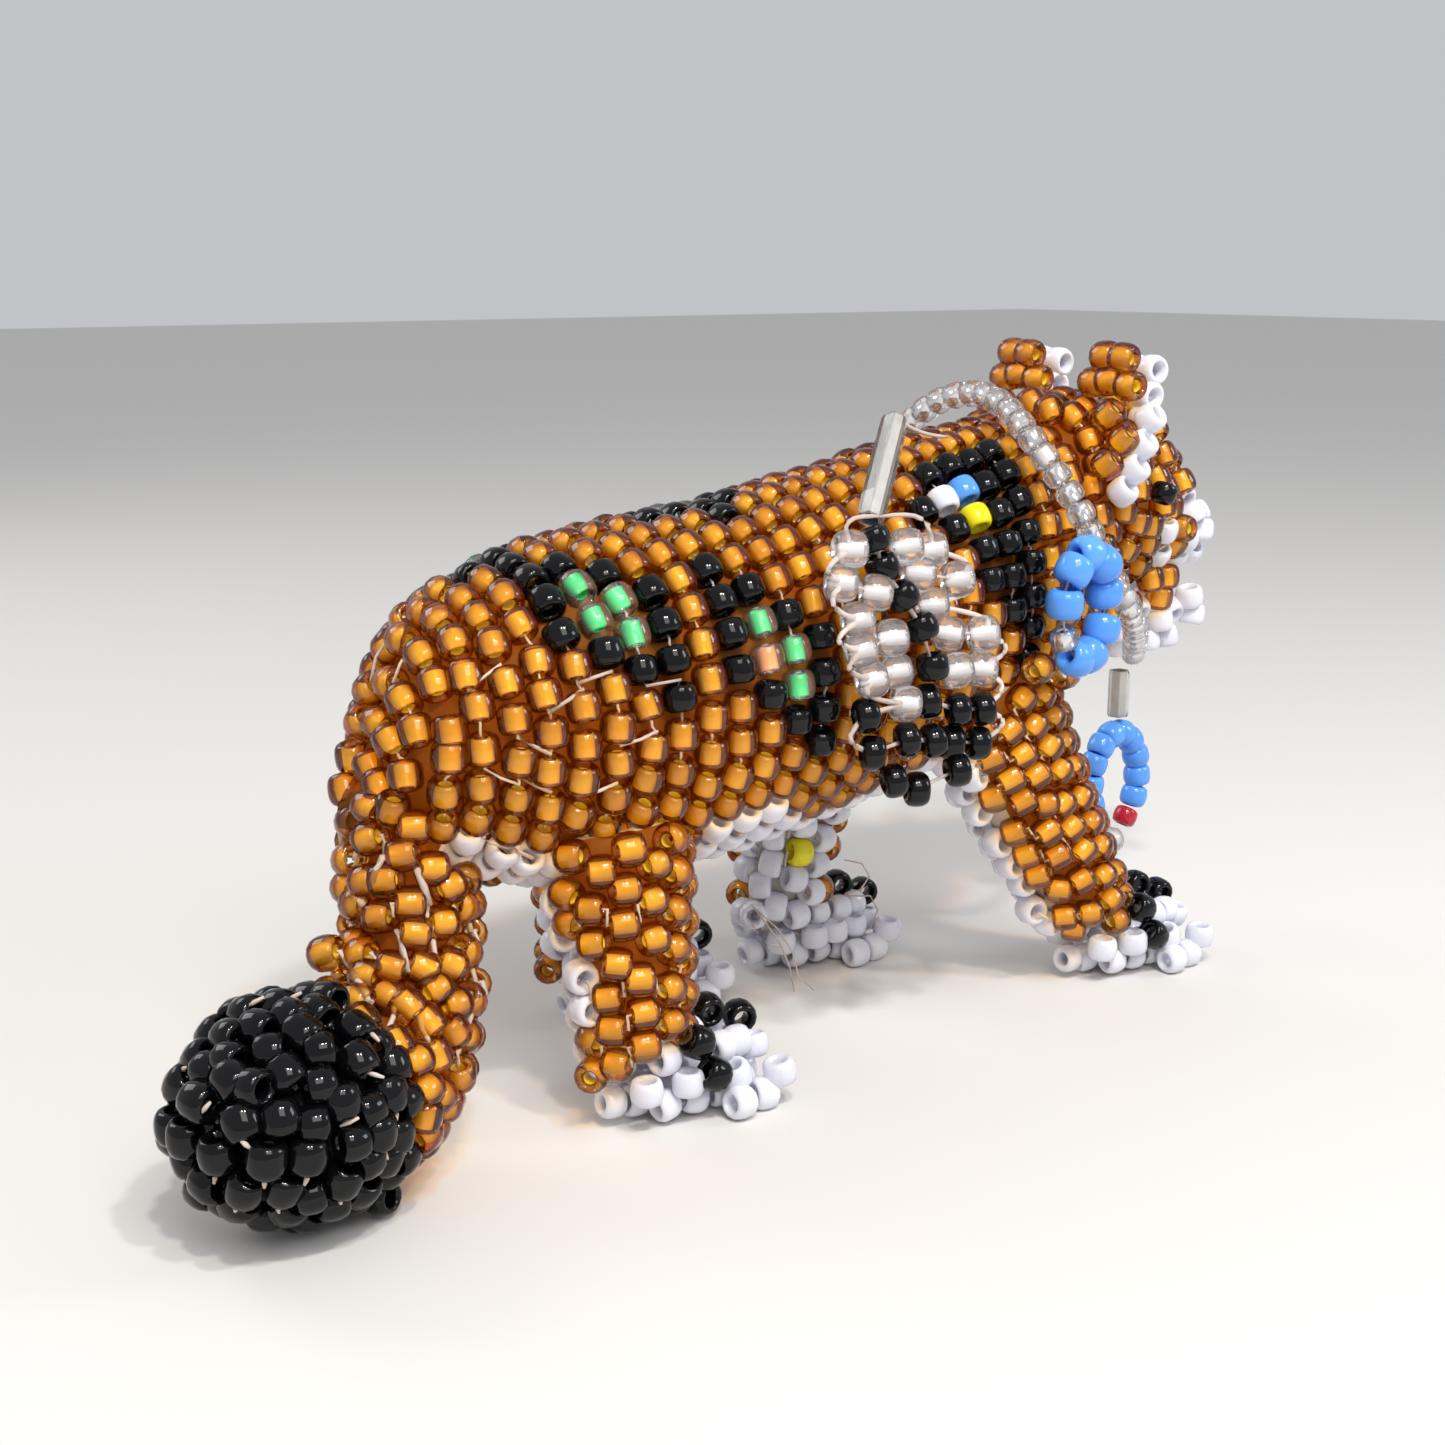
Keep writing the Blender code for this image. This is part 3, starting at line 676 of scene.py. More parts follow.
def lay_leg(leg):
    outer, inner, paw = f"{leg}_leg_outer", f"{leg}_leg_inner", f"{leg}_paw"
    skin = Skin(outer, inner)
    foot_low, foot_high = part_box(paw)
    foot = Skin(paw, f"{leg}_claws")
    ankle = Vector((foot_low.x + 3.0 * MM, (foot_low.y + foot_high.y) / 2, foot_high.z * 0.75))
    walk = march(skin, ankle, Z, X, 10 * MM, few=0.25)
    tube = Tube(walk, X)
    cores[f"{leg}_leg_stuffing"] = (tube, f"{leg}_leg_core")
    heel = Vector((foot_low.x + 0.5 * MM, ankle.y, 2.6 * MM))
    toes = march(foot, heel, X, Z, 8 * MM, bend=0.0, step=0.6 * MM)
    paw_tube = Tube(domed(toes, 0.25), Z)
    weave = Weave(tube, skin, LEG_SPACING, LEG_PITCH, stagger=0.5, loose=0.35, first=0.1)
    weave.keep(0.8)
    weave.sew(0.0, 1.0, THREAD_RADIUS)
    lay_claws(leg)
    toe_weave = Weave(paw_tube, foot, 2.15 * MM, 1.95 * MM, stagger=0.5, loose=0.15, first=0.3)
    for bead in toe_weave.beads.values():
        bead.kind, bead.node = "white", paw
        if abs(bead.outward.z) > 0.45:
            bead.axis, bead.scale = jiggled(X, 12), 0.95
        elif bead.outward.x > 0.6:
            bead.axis, bead.scale = jiggled(Z, 12), 0.95
    toe_weave.keep(0.8)


CLAWS = ((-3.3, 2.7, 5.3), (-2.5, 3.4, 3.2), (-0.2, -0.7, 5.6), (2.4, -0.7, 4.5))  # ahead, outwards, up


def lay_claws(leg):
    """Two pairs of black beads over the toes."""
    node = f"{leg}_claws"
    middle = middle_of(node)
    outer = SIDES[leg.split("_")[1]]
    for ahead, aside, up in CLAWS:
        place = Vector((middle.x + ahead * MM, middle.y + outer * aside * MM, up * MM))
        outward = Vector((0.25, outer * aside / 3.2, 0.9 if aside < 1 else 0.5)).normalized()
        axis = Vector((0.9, 0.0, -0.45)) if aside > 0 else Vector((0.2, 1.0, 0.0))
        add_bead(Bead(place, jiggled(axis, 5), outward, "black", node, scale=1.02))


def turned(stations):
    """The stations of the same tube walked the other way."""
    return [(centre, -heading, rays[:1] + rays[:0:-1]) for centre, heading, rays in reversed(stations)]


def lay_tail():
    skin = Skin("tail_hide", "tail_tip")
    tip = Skin("tail_tip")
    start = tip.end(-X, 1.2 * MM) + X * 0.6 * MM
    walk = march(skin, start, X + Y * 0.3, Y, 9.5 * MM, few=0.3, step=0.7 * MM)
    tube = Tube(turned(domed(turned(walk), 0.45)), Y)
    cores["tail_stuffing"] = (tube, "tail_core")
    weave = Weave(tube, skin, 2.35 * MM, 1.98 * MM, stagger=0.5, loose=0.6, first=0.2)
    weave.keep(0.78)
    tip_beads = [bead for bead in weave.beads.values() if bead.node == "tail_tip"]
    for key in [key for key, bead in weave.beads.items() if bead.node == "tail_tip"]:
        del weave.beads[key]
    weave.sew(0.8, 1.0, THREAD_RADIUS * 1.6)
    for bead in tip_beads:
        if dice.random() < 0.55:
            beside = bead.centre + bead.axis * 1.15 * MM + bead.outward * 0.55 * MM
            way = jiggled(bead.axis, 35) * dice.uniform(0.3, 0.6) * MM
            add_thread("figure", [beside - way, beside, beside + way], 0.15 * MM)


# ---------------------------------------------------------------- the ornaments


def centreline(node, start, heading, limit):
    """Points along the middle of a strand of beads."""
    walk = march(Skin(node), start, heading, (0.31, 0.2, 0.93), limit, step=0.4 * MM, few=0.8, most=400)
    return [station[0] for station in walk]


def spaced(points, spacing):
    """(place, direction) at even steps along a line of points."""
    run = [0.0]
    for a, b in zip(points, points[1:]):
        run.append(run[-1] + (b - a).length)
    count = max(round(run[-1] / spacing), 1)
    places = []
    for k in range(count):
        want = (k + 0.5) * run[-1] / count
        i = min(max(np.searchsorted(run, want) - 1, 0), len(points) - 2)
        f = (want - run[i]) / max(run[i + 1] - run[i], 1e-9)
        places.append((points[i].lerp(points[i + 1], f), (points[i + 1] - points[i]).normalized()))
    return places


def lay_collar():
    skin = Skin("collar_strand")
    high_x = max(p.x for p in skin.points)
    near = [p for p in skin.points if p.x > high_x - 1.3 * MM and p.y > 0]
    start = sum(near, Vector()) / len(near)
    line = centreline("collar_strand", start, (-0.65, 0.6, 0.4), 2.2 * MM)
    outward_from = middle_of("torso_hide", "head_hide")
    for place, direction in spaced(line, 1.52 * MM):
        kind = "silver" if dice.random() < 0.72 else "clear"
        outward = (place - outward_from).normalized()
        add_bead(Bead(place, jiggled(direction, 5), outward, kind, "collar_strand", "small"))
    add_thread("figure", line[::6] + line[-1:], 0.12 * MM)


def on_oval(middle, half_x, half_z, turn):
    """(place, direction) at a turn round an upright oval."""
    cos, sin = math.cos(turn), math.sin(turn)
    place = Vector((middle.x + half_x * cos, middle.y, middle.z + half_z * sin))
    return place, Vector((-half_x * sin, 0.0, half_z * cos)).normalized()


def lay_side_loop():
    node = "side_loop"
    low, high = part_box(node)
    middle = (low + high) / 2
    crystal = middle_of("side_loop_crystal")
    half_x, half_z = (high.x - low.x) / 2 - 1.3 * MM, (high.z - low.z) / 2 - 1.3 * MM
    gap = math.atan2((crystal.z - middle.z) / half_z, (crystal.x - middle.x) / half_x)
    count = 9
    ring = []
    for k in range(count):
        place, along = on_oval(middle, half_x, half_z, gap + 2 * math.pi * k / count)
        ring.append(place)
        if k == 0:
            add_bead(Bead(place, along, -Y, "silver", "side_loop_crystal", "small"))
            continue
        place = place + Y * dice.uniform(-0.35, 0.35) * MM
        add_bead(Bead(place, jiggled(along, 9), jiggled(-Y, 6), "blue", node, "large"))
    add_thread("side_loop", ring + ring[:1], 0.12 * MM)


def lay_chest():
    low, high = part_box("chest_ring")
    half_x = (high.x - low.x) / 2 - 1.1 * MM
    reds = [middle_of(f"chest_ring_red_{end}") for end in ("front", "rear")]
    drop = middle_of("chest_drop_bead")
    half_z = half_x * 4.0 / 2.7
    middle = Vector(((low.x + high.x) / 2, (low.y + high.y) / 2, high.z - 1.1 * MM - half_z))
    for k in range(10):
        place, along = on_oval(middle, half_x, half_z, math.radians(-24 + 228 * k / 9))
        add_bead(Bead(place, jiggled(along, 6), -Y, "blue", "chest_ring", "ring"))
    for end, place, lean in (("front", reds[0], 0.6), ("rear", reds[1], -0.6)):
        axis = Vector((lean, 0, 1)).normalized()
        add_bead(Bead(place, axis, -Y, "red", f"chest_ring_red_{end}", "small"))
    add_bead(Bead(drop, X, -Y, "clear", "chest_drop_bead", scale=0.95))


FEATHER = {  # (along, up) of each bead in millimetres from the feather's lower rear corner
    "quill": [(2.8, 18.0), (3.3, 16.2), (4.7, 14.3), (6.0, 12.2), (6.5, 9.7)],
    "rear": [
        [(0.4, 17.6)],
        [(-0.2, 15.6), (2.2, 14.8)],
        [(1.1, 13.1)],
        [(0.9, 11.3), (3.5, 11.8)],
        [(1.4, 9.5), (3.9, 9.6)],
        [(4.2, 7.6)],
    ],
    "front": [
        [(5.0, 17.4), (7.1, 17.0)],
        [(6.0, 15.6), (9.3, 14.9)],
        [(7.2, 13.4)],
        [(8.5, 11.5), (11.0, 11.3)],
        [(8.8, 9.1), (11.1, 8.9)],
    ],
    "tip": [
        [(1.2, 7.2), (6.4, 7.4), (8.6, 6.6), (10.7, 6.4)],
        [(1.5, 4.8), (4.2, 5.3), (6.4, 4.9), (8.4, 4.4), (10.5, 4.1)],
        [(3.3, 2.7), (5.5, 1.7), (8.6, 2.6)],
    ],
}


def lay_feather():
    corners = [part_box(f"feather_{name}")[0] for name in ("tip", "vane_rear", "quill")]
    low = Vector([min(c) for c in zip(*corners)])
    face = low.y + 1.2 * MM

    def place(along, up):
        lean = 0.13 * max(up - 6.0, 0.0) + 0.3 * math.sin(along * 1.1 + up)
        return Vector((low.x + along * MM, face + lean * MM, low.z + up * MM))

    quill = [place(*spot) for spot in FEATHER["quill"]]
    for k, spot in enumerate(quill):
        way = quill[min(k + 1, len(quill) - 1)] - quill[max(k - 1, 0)]
        scale = 0.9 if k == 0 else 1.0
        add_bead(Bead(spot, jiggled(way.normalized(), 8), -Y, "black", "feather_quill", scale=scale))
    add_thread("feather", quill, 0.15 * MM)
    edges = {}
    for vane, kind in (("rear", "clear"), ("front", "clear"), ("tip", "black")):
        node = "feather_tip" if vane == "tip" else f"feather_vane_{vane}"
        for row in FEATHER[vane]:
            spots = [place(*spot) for spot in row]
            for spot in spots:
                axis = jiggled(Vector((0.9, -0.42, dice.uniform(-0.15, 0.15))), 5)
                shape = "clear" if kind == "clear" else "disc"
                add_bead(Bead(spot, axis, jiggled(-Y, 6), kind, node, shape, dice.uniform(1.0, 1.06)))
            if len(spots) > 1:
                add_thread("feather", spots, 0.16 * MM)
            edges.setdefault(vane, []).append((spots[0], spots[-1]))
    rear = [row[0] for row in edges["rear"]] + [edges["tip"][0][0], edges["tip"][1][0]]
    front = [row[-1] for row in edges["front"]] + [edges["tip"][0][-1], edges["tip"][1][-1]]
    for line, way in ((rear, -1.0), (front, 1.0)):
        for upper, lower in zip(line, line[1:]):
            bow = X * way * dice.uniform(1.5, 2.0) * MM - Y * 0.3 * MM
            add_thread("feather", bowed(upper, lower, bow, 10), 0.17 * MM)
    top = place(3.0, 19.4)
    for end, way in ((rear[0], -1.0), (front[0], 1.0)):
        add_thread("feather", bowed(top, end, (X * way * 1.3 + Z * 0.8) * MM, 8), 0.15 * MM)
    add_bead(Bead(middle_of("feather_cap_bead"), Z, -Y, "clear", "feather_cap_bead", "small"))


# ---------------------------------------------------------------- materials


def node_material(name):
    material = bpy.data.materials.new(name)
    material.use_nodes = True
    tree = material.node_tree
    tree.nodes.clear()
    output = tree.nodes.new("ShaderNodeOutputMaterial")
    return material, tree, output


def link(tree, out, into):
    tree.links.new(out, into)


def put(node, values):
    """Sets inputs of a shader node by name."""
    for name, value in values.items():
        node.inputs[name].default_value = value


def island_tint(tree, dark, light, contrast=1.0):
    """A faintly cloudy colour that differs from bead to bead, between a dark and a light one."""
    geometry = tree.nodes.new("ShaderNodeNewGeometry")
    cloud = tree.nodes.new("ShaderNodeTexNoise")
    put(cloud, {"Scale": 900.0, "Detail": 3.0})
    coordinates = tree.nodes.new("ShaderNodeTexCoord")
    link(tree, coordinates.outputs["Object"], cloud.inputs["Vector"])
    blend = tree.nodes.new("ShaderNodeMath")
    blend.operation = "MULTIPLY_ADD"
    blend.inputs[1].default_value = 0.3 * contrast
    link(tree, cloud.outputs["Fac"], blend.inputs[0])
    spread = tree.nodes.new("ShaderNodeMath")
    spread.operation = "MULTIPLY"
    spread.inputs[1].default_value = 0.7
    link(tree, geometry.outputs["Random Per Island"], spread.inputs[0])
    link(tree, spread.outputs[0], blend.inputs[2])
    ramp = tree.nodes.new("ShaderNodeValToRGB")
    ramp.color_ramp.elements[0].color = (*dark, 1.0)
    ramp.color_ramp.elements[1].color = (*light, 1.0)
    link(tree, blend.outputs[0], ramp.inputs["Fac"])
    return ramp.outputs["Color"]


def add_bump(tree, shader, scale, strength, distance):
    texture = tree.nodes.new("ShaderNodeTexNoise")
    texture.inputs["Scale"].default_value = scale
    coordinates = tree.nodes.new("ShaderNodeTexCoord")
    link(tree, coordinates.outputs["Object"], texture.inputs["Vector"])
    bump = tree.nodes.new("ShaderNodeBump")
    put(bump, {"Strength": strength, "Distance": distance})
    link(tree, texture.outputs["Fac"], bump.inputs["Height"])
    link(tree, bump.outputs["Normal"], shader.inputs["Normal"])


def opaque(name, dark, light, bump, roughness, ior=1.5, metallic=0.0, specular=0.5, contrast=1.0):
    """A material that light doesn't enter; its bump is (scale, strength, distance)."""
    material, tree, output = node_material(name)
    shader = tree.nodes.new("ShaderNodeBsdfPrincipled")
    link(tree, island_tint(tree, dark, light, contrast), shader.inputs["Base Color"])
    put(shader, {"Roughness": roughness, "IOR": ior})
    put(shader, {"Metallic": metallic, "Specular IOR Level": specular})
    add_bump(tree, shader, *bump)
    link(tree, shader.outputs["BSDF"], output.inputs["Surface"])
    return material


def opaque_glass(name, dark, light, roughness=0.09, ior=1.5):
    return opaque(name, dark, light, (700.0, 0.25, 0.00003), roughness, ior)


def lining(name, dark, light, roughness=0.35, metallic=0.0):
    return opaque(name, dark, light, (1400.0, 0.5, 0.00004), roughness, metallic=metallic)


def fibre(name, dark, light, scale=900.0):
    """Twisted or matted fibre."""
    return opaque(name, dark, light, (scale, 0.8, 0.0001), 0.75, specular=0.2, contrast=1.6)


def see_through_glass(name, dark, light, edge, shade, milk):
    """Glass that bends light to the eye, deeper in colour towards the edge, and lets the lamps through.

    Shade is the tint of its shadow, and milk the share of it that is cloudy.
    """
    material, tree, output = node_material(name)
    shader = tree.nodes.new("ShaderNodeBsdfPrincipled")
    facing = tree.nodes.new("ShaderNodeLayerWeight")
    facing.inputs["Blend"].default_value = 0.5
    ramp = tree.nodes.new("ShaderNodeValToRGB")
    ramp.color_ramp.elements[0].position = 0.16
    ramp.color_ramp.elements[1].position = 0.42
    link(tree, facing.outputs["Facing"], ramp.inputs["Fac"])
    tint = tree.nodes.new("ShaderNodeMix")
    tint.data_type = "RGBA"
    link(tree, ramp.outputs["Color"], tint.inputs["Factor"])
    link(tree, island_tint(tree, dark, light), tint.inputs["A"])
    tint.inputs["B"].default_value = (*edge, 1.0)
    link(tree, tint.outputs["Result"], shader.inputs["Base Color"])
    put(shader, {"Roughness": 0.015, "IOR": 1.5, "Transmission Weight": 1.0 - milk})
    add_bump(tree, shader, 600.0, 0.2, 0.00002)
    clear = tree.nodes.new("ShaderNodeBsdfTransparent")
    clear.inputs["Color"].default_value = (*shade, 1.0)
    path = tree.nodes.new("ShaderNodeLightPath")
    most = tree.nodes.new("ShaderNodeMath")
    most.operation = "MAXIMUM"
    link(tree, path.outputs["Is Shadow Ray"], most.inputs[0])
    link(tree, path.outputs["Is Diffuse Ray"], most.inputs[1])
    mix = tree.nodes.new("ShaderNodeMixShader")
    link(tree, most.outputs[0], mix.inputs["Fac"])
    link(tree, shader.outputs["BSDF"], mix.inputs[1])
    link(tree, clear.outputs["BSDF"], mix.inputs[2])
    link(tree, mix.outputs["Shader"], output.inputs["Surface"])
    return material


MATERIALS = {
    "amber_glass": see_through_glass(
        "amber_glass", (0.62, 0.24, 0.03), (0.86, 0.41, 0.06), (0.15, 0.026, 0.002),
        (1.0, 0.86, 0.60), 0.08
    ),
    "amber_lining": lining("amber_lining", (0.68, 0.44, 0.03), (0.90, 0.70, 0.06)),
    "clear_glass": see_through_glass(
        "clear_glass", (0.93, 0.95, 0.96), (0.99, 0.99, 0.99), (0.34, 0.36, 0.38),
        (0.97, 0.97, 0.97), 0.06
    ),
    "crystal_glass": see_through_glass(
        "crystal_glass", (0.90, 0.88, 0.89), (0.97, 0.96, 0.97), (0.50, 0.49, 0.50),
        (0.97, 0.97, 0.97), 0.13
    ),
    "green_lining": lining("green_lining", (0.03, 0.62, 0.14), (0.06, 0.85, 0.24)),
    "mint_lining": lining("mint_lining", (0.25, 0.55, 0.36), (0.40, 0.72, 0.50)),
    "orange_lining": lining("orange_lining", (0.85, 0.24, 0.05), (0.95, 0.34, 0.08)),
    "silver_lining": lining("silver_lining", (0.80, 0.80, 0.80), (0.96, 0.96, 0.96), 0.12, 1.0),
    "bugle_lining": lining("bugle_lining", (0.42, 0.41, 0.38), (0.80, 0.78, 0.72), 0.3, 0.8),
    "frost_lining": lining("frost_lining", (0.55, 0.52, 0.52), (0.78, 0.75, 0.75), 0.25),
    "white_glass": opaque_glass("white_glass", (0.66, 0.67, 0.76), (0.80, 0.81, 0.88), 0.12),
    "black_glass": opaque_glass("black_glass", (0.001, 0.001, 0.0015), (0.004, 0.004, 0.005), 0.04, 1.38),
    "blue_glass": opaque_glass("blue_glass", (0.07, 0.26, 0.78), (0.11, 0.36, 0.92), 0.1),
    "yellow_glass": opaque_glass("yellow_glass", (0.78, 0.66, 0.0), (0.86, 0.76, 0.01)),
    "red_glass": opaque_glass("red_glass", (0.35, 0.006, 0.015), (0.5, 0.012, 0.03)),
    "thread": fibre("thread", (0.44, 0.34, 0.29), (0.72, 0.62, 0.56), 2600.0),
    "amber_fibre": fibre("amber_fibre", (0.12, 0.030, 0.001), (0.28, 0.080, 0.002)),
    "black_fibre": fibre("black_fibre", (0.004, 0.004, 0.005), (0.02, 0.018, 0.018)),
    "white_fibre": fibre("white_fibre", (0.35, 0.31, 0.28), (0.60, 0.55, 0.50)),
}


# ---------------------------------------------------------------- meshes


def mesh_object(name, points, faces, slots, materials, body):
    mesh = bpy.data.meshes.new(name)
    mesh.vertices.add(len(points))
    mesh.vertices.foreach_set("co", np.asarray(points, np.float32).ravel())
    faces = np.asarray(faces, np.int32)
    mesh.loops.add(faces.size)
    mesh.loops.foreach_set("vertex_index", faces.ravel())
    mesh.polygons.add(len(faces))
    mesh.polygons.foreach_set("loop_start", np.arange(len(faces), dtype=np.int32) * faces.shape[1])
    mesh.polygons.foreach_set("material_index", np.asarray(slots, np.int32))
    mesh.update(calc_edges=True)
    mesh.shade_smooth()
    for material in materials:
        mesh.materials.append(MATERIALS[material])
    obj = bpy.data.objects.new(name, mesh)
    bpy.context.scene.collection.objects.link(obj)
    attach(obj, body)
    return obj


def make_bead_pieces():
    """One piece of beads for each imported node, with a material slot for each kind's outside and hole."""
    by_node = {}
    for bead in beads:
        by_node.setdefault(bead.node, []).append(bead)
    for node, group in sorted(by_node.items()):
        names = []
        points, faces, slots = [], [], []
        start = 0
        for bead in group:
            for finish in FINISHES[bead.kind]:
                if finish not in names:
                    names.append(finish)
            pair = [names.index(finish) for finish in FINISHES[bead.kind]]
            shape = "lined" if bead.shape == "seed" and bead.kind in LINED else bead.shape
            shape_points, shape_faces, shape_slots = SHAPES[shape]
            points.append(shape_points @ bead.matrix().T + np.array(tuple(bead.centre)))
            faces.append(shape_faces + start)
            slots.append(np.where(shape_slots == 1, pair[1], pair[0]))
            start += len(shape_points)
        body = frame["nodes"][node]["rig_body"]
        arrays = [np.concatenate(part) for part in (points, faces, slots)]
        piece = mesh_object(f"{node}_beads", *arrays, names, body)
        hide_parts(node)


def tube_mesh(line, radius, sides=6):
    """Points and faces of a thread along a line, with closed ends."""
    points = []
    for i, place in enumerate(line):
        way = (line[min(i + 1, len(line) - 1)] - line[max(i - 1, 0)]).normalized()
        side = way.orthogonal().normalized()
        other = way.cross(side)
        size = radius * (0.55 if i in (0, len(line) - 1) else 1.0)
        for k in range(sides):
            a = 2 * math.pi * k / sides
            points.append(place + side * math.cos(a) * size + other * math.sin(a) * size)
    faces = grid_faces(len(line), sides)
    last = (len(line) - 1) * sides
    for k in range(1, sides - 2, 2):
        faces.append((0, k + 2, k + 1, k))
        faces.append((last, last + k, last + k + 1, last + k + 2))
    return points, faces


def make_threads():
    for body, lines in sorted(threads.items()):
        points, faces = [], []
        for line, radius in lines:
            more_points, more_faces = tube_mesh(line, radius)
            faces += [tuple(i + len(points) for i in face) for face in more_faces]
            points += [tuple(p) for p in more_points]
        piece = mesh_object(f"{body}_threads", points, faces, np.zeros(len(faces)), ["thread"], body)


STUFFINGS = ("amber", "white", "black")


def drawn_in(tube, length):
    """A ring moved under the beads towards the middle line, for a tube that bends sharply."""
    ring = tube.ring(length)[0]
    line = tube.centres[np.linalg.norm(tube.centres - tube.centres[0], axis=1) > 5.5 * MM]
    apart = np.linalg.norm(ring[:, None] - line[None], axis=2)
    away = line[apart.argmin(1)] - ring
    far = apart.min(1)[:, None]
    return ring + away * np.minimum(1.15 * CORE_DEPTH / far, 0.7)


def make_cores():
    """The stuffing under the beads: a soft solid that the innermost glass presses into."""
    for name, (tube, node) in sorted(cores.items()):
        rings = max(int(tube.length / (1.1 * MM)), 4)
        points = []
        for i in range(rings + 1):
            length = tube.length * i / rings
            if name == "tail_stuffing":
                ring = drawn_in(tube, length)
            else:
                ring = tube.ring(length, CORE_DEPTH)[0]
            points += [tuple(p) for p in ring]
        faces = grid_faces(rings + 1, SPOKES)
        slots = [STUFFINGS.index(kind_of(everything.owner(Vector(points[face[0]])))) for face in faces]
        for first in (0, rings * SPOKES):
            middle = len(points)
            points.append(tuple(np.mean(points[first : first + SPOKES], axis=0)))
            for k in range(0, SPOKES, 2):
                corners = [first + (k + step) % SPOKES for step in range(3)]
                faces.append((middle, *(corners if first else reversed(corners))))
                slots.append(slots[-1] if first else slots[0])
        body = frame["nodes"][node]["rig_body"]
        piece = mesh_object(name, points, faces, slots, [f"{kind}_fibre" for kind in STUFFINGS], body)
        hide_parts(node)


BUGLE_RADIUS = 0.95 * MM
BUGLE_OUTLINE = (  # share of the length, share of the radius
    (0.0, 0.62), (0.0, 0.85), (0.04, 0.97), (0.12, 1.0), (0.5, 1.0),
    (0.88, 1.0), (0.96, 0.97), (1.0, 0.85), (1.0, 0.62),
)


def make_bugle(node, start, end):
    """A six-sided silver-lined glass tube."""
    way = (end - start).normalized()
    side = way.orthogonal().normalized()
    other = way.cross(side)
    sides = 6
    points = []
    for t, r in BUGLE_OUTLINE:
        for k in range(sides):
            a = 2 * math.pi * k / sides
            across = (side * math.cos(a) + other * math.sin(a)) * BUGLE_RADIUS * r
            points.append(tuple(start.lerp(end, t) + across))
    faces = grid_faces(len(BUGLE_OUTLINE), sides, closed=True)
    slots = np.zeros(len(faces))
    slots[-sides:] = 1
    body = frame["nodes"][node]["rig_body"]
    piece = mesh_object(f"{node}_glass", points, faces, slots, ["clear_glass", "bugle_lining"], body)
    piece.data.set_sharp_from_angle(angle=math.radians(35))
    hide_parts(node)


def lay_loose_ends():
    """Thread tails and loops on the far front leg, its yellow bead, and the withers' thread."""
    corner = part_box("front_left_paw")[0]
    near = corner + Vector((1.6, -0.8, 10.2)) * MM
    leg = [bead for bead in beads if bead.node.startswith("front_left_leg")]
    min(leg, key=lambda bead: (bead.centre - near).length).kind = "yellow"
    for line in (
        [(-1.7, 0.1, 7.0), (-1.4, -1.1, 6.0), (-0.5, -1.7, 4.4), (0.3, -1.9, 2.4), (0.6, -2.1, 0.4)],
        [(-1.3, 0.1, 6.6), (-0.3, -1.3, 5.2), (0.6, -1.9, 3.4), (0.9, -2.2, 1.6), (2.1, -2.5, 0.3)],
        [(-1.9, 0.3, 6.4), (-2.1, -0.9, 5.4), (-1.4, -1.5, 4.4), (-0.2, -1.7, 3.9)],
        [(8.1, 1.5, 8.2), (9.4, 0.9, 7.8), (10.0, 0.7, 6.7), (9.3, 0.9, 5.7), (8.2, 1.5, 5.4)],
        [(8.5, 1.5, 5.2), (10.3, 0.9, 5.0), (10.9, 0.7, 3.8), (10.2, 0.7, 2.4), (8.7, 1.5, 2.0)],
    ):
        add_thread("figure", [corner + Vector(p) * MM for p in line], 0.07 * MM)
    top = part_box("shoulder_bugle")[1]
    withers = top + Vector((5.6, 0.9, -2.3)) * MM
    start = Vector((top.x - 0.8 * MM, top.y - 0.8 * MM, top.z - 0.6 * MM))
    add_thread("figure", bowed(start, withers, Z * -0.3 * MM, 8), 0.13 * MM)


def lay_bugles():
    for node in ("shoulder_bugle", "chest_bugle"):
        skin = Skin(node)
        way = Vector((0.5, 0.35, 0.8)) if node == "shoulder_bugle" else Z
        make_bugle(node, skin.end(-way, 0.5 * MM), skin.end(way, 0.5 * MM))


# ---------------------------------------------------------------- the studio


LAMPS = (  # name, place, target and size in millimetres, watts, colour
    ("soft_key", (-60, -220, 260), (0, 0, 20), 160, 0.40, (1.0, 0.97, 0.93)),
    ("soft_window", (220, -160, 160), (10, 0, 20), 90, 0.20, (0.85, 0.92, 1.0)),
    ("soft_back", (-120, 240, 200), (0, 0, 20), 140, 0.22, (1.0, 0.98, 0.96)),
    ("small_left", (-60, -130, 240), (0, 0, 20), 14, 0.20, (1.0, 0.98, 0.95)),
    ("small_right", (0, -140, 240), (0, 0, 20), 14, 0.20, (1.0, 0.98, 0.95)),
)


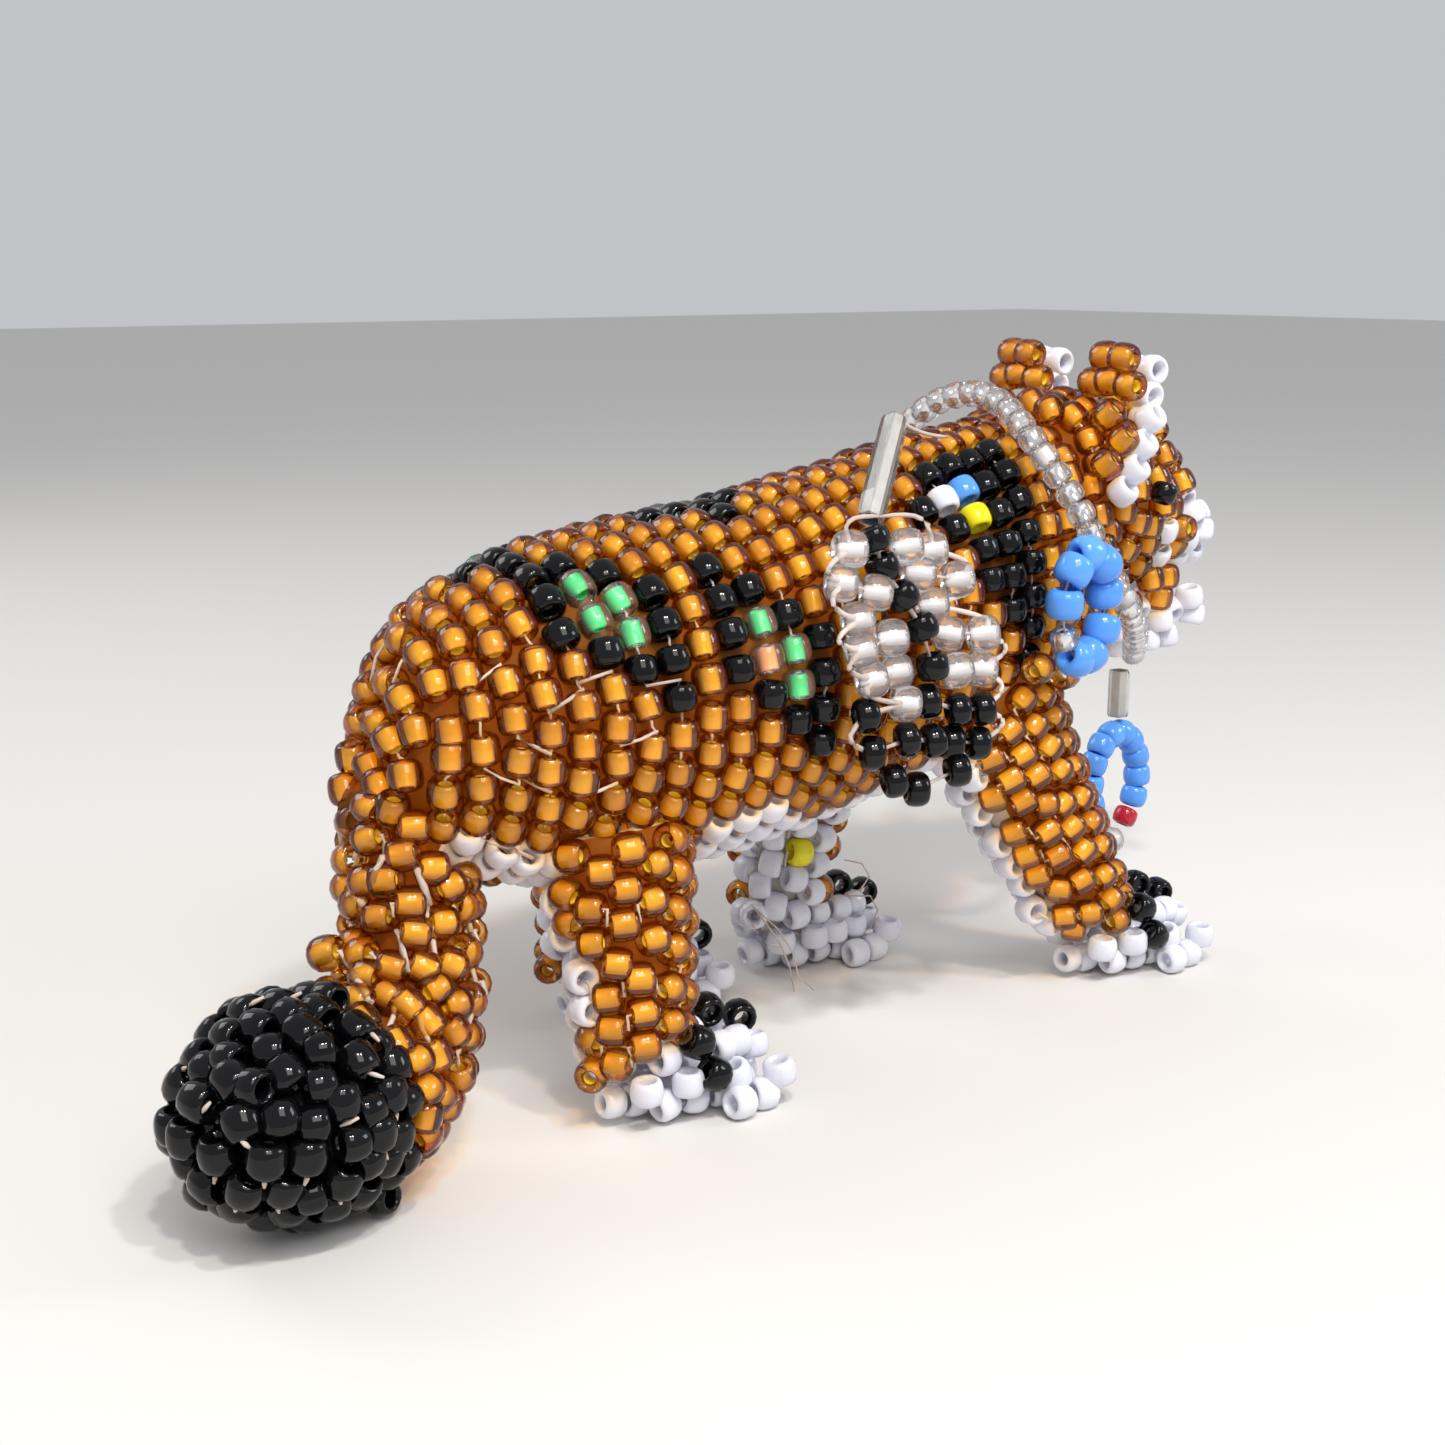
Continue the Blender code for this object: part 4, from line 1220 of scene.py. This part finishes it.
def make_studio():
    floor_mesh = bpy.data.meshes.new("floor")
    wide = 1.5
    corners = [(-wide, -wide, 0), (wide, -wide, 0), (wide, wide, 0), (-wide, wide, 0)]
    floor_mesh.from_pydata(corners, [], [(0, 1, 2, 3)])
    material, tree, output = node_material("floor")
    shader = tree.nodes.new("ShaderNodeBsdfPrincipled")
    put(shader, {"Base Color": (0.72, 0.70, 0.67, 1.0), "Roughness": 0.8})
    link(tree, shader.outputs["BSDF"], output.inputs["Surface"])
    floor_mesh.materials.append(material)
    floor = bpy.data.objects.new("floor", floor_mesh)
    bpy.context.scene.collection.objects.link(floor)

    world = bpy.data.worlds.new("studio")
    bpy.context.scene.world = world
    world.use_nodes = True
    background = world.node_tree.nodes["Background"]
    put(background, {"Color": (0.86, 0.88, 0.92, 1.0), "Strength": 0.62})

    for lamp in LAMPS:
        add_lamp(*lamp)


def add_lamp(name, place, target, size, power, colour):
    data = bpy.data.lights.new(name, "AREA")
    data.size = size * MM
    data.energy = power
    data.color = colour
    lamp = bpy.data.objects.new(name, data)
    lamp.location = Vector(place) * MM
    lamp.rotation_mode = "QUATERNION"
    lamp.rotation_quaternion = (Vector(target) - Vector(place)).to_track_quat("-Z", "Y")
    bpy.context.scene.collection.objects.link(lamp)


def make_camera():
    data = bpy.data.cameras.new("camera")
    data.sensor_width = 36.0
    data.lens = CAMERA_LENS
    data.shift_x, data.shift_y = CAMERA_SHIFT
    data.clip_start, data.clip_end = 0.005, 10.0
    camera = bpy.data.objects.new("camera", data)
    a, e = math.radians(CAMERA_AZIMUTH), math.radians(CAMERA_ELEVATION)
    back = Vector((math.sin(a) * math.cos(e), -math.cos(a) * math.cos(e), math.sin(e)))
    camera.location = CAMERA_PLACE
    camera.rotation_mode = "QUATERNION"
    camera.rotation_quaternion = (-back).to_track_quat("-Z", "Y")
    bpy.context.scene.collection.objects.link(camera)
    bpy.context.scene.camera = camera


def set_look():
    scene = bpy.context.scene
    scene.view_settings.view_transform = "Standard"
    scene.cycles.max_bounces = 14
    scene.cycles.transmission_bounces = 12
    scene.cycles.transparent_max_bounces = 24
    scene.cycles.caustics_refractive = False
    scene.cycles.caustics_reflective = False
    scene.cycles.use_denoising = True


make_camera()
lay_feather()
lay_collar()
lay_side_loop()
lay_chest()
lay_head()
for leg in LEGS:
    lay_leg(leg)
lay_tail()
lay_torso(Skin("head_hide"))
darn(X, "head_hide", "muzzle", "lower_jaw")
darn(X, "torso_hide", "belly_panel")
darn(Z, "tail_hide", "tail_tip", room=0.76)
mend("tail_hide", *TAIL_CREASE)
darn(Z, *(f"{leg}_leg_{side}" for leg in LEGS for side in ("outer", "inner")))
darn(Y, *(f"{leg}_paw" for leg in LEGS))
lay_bugles()
lay_loose_ends()
make_bead_pieces()
make_threads()
make_cores()
make_studio()
set_look()
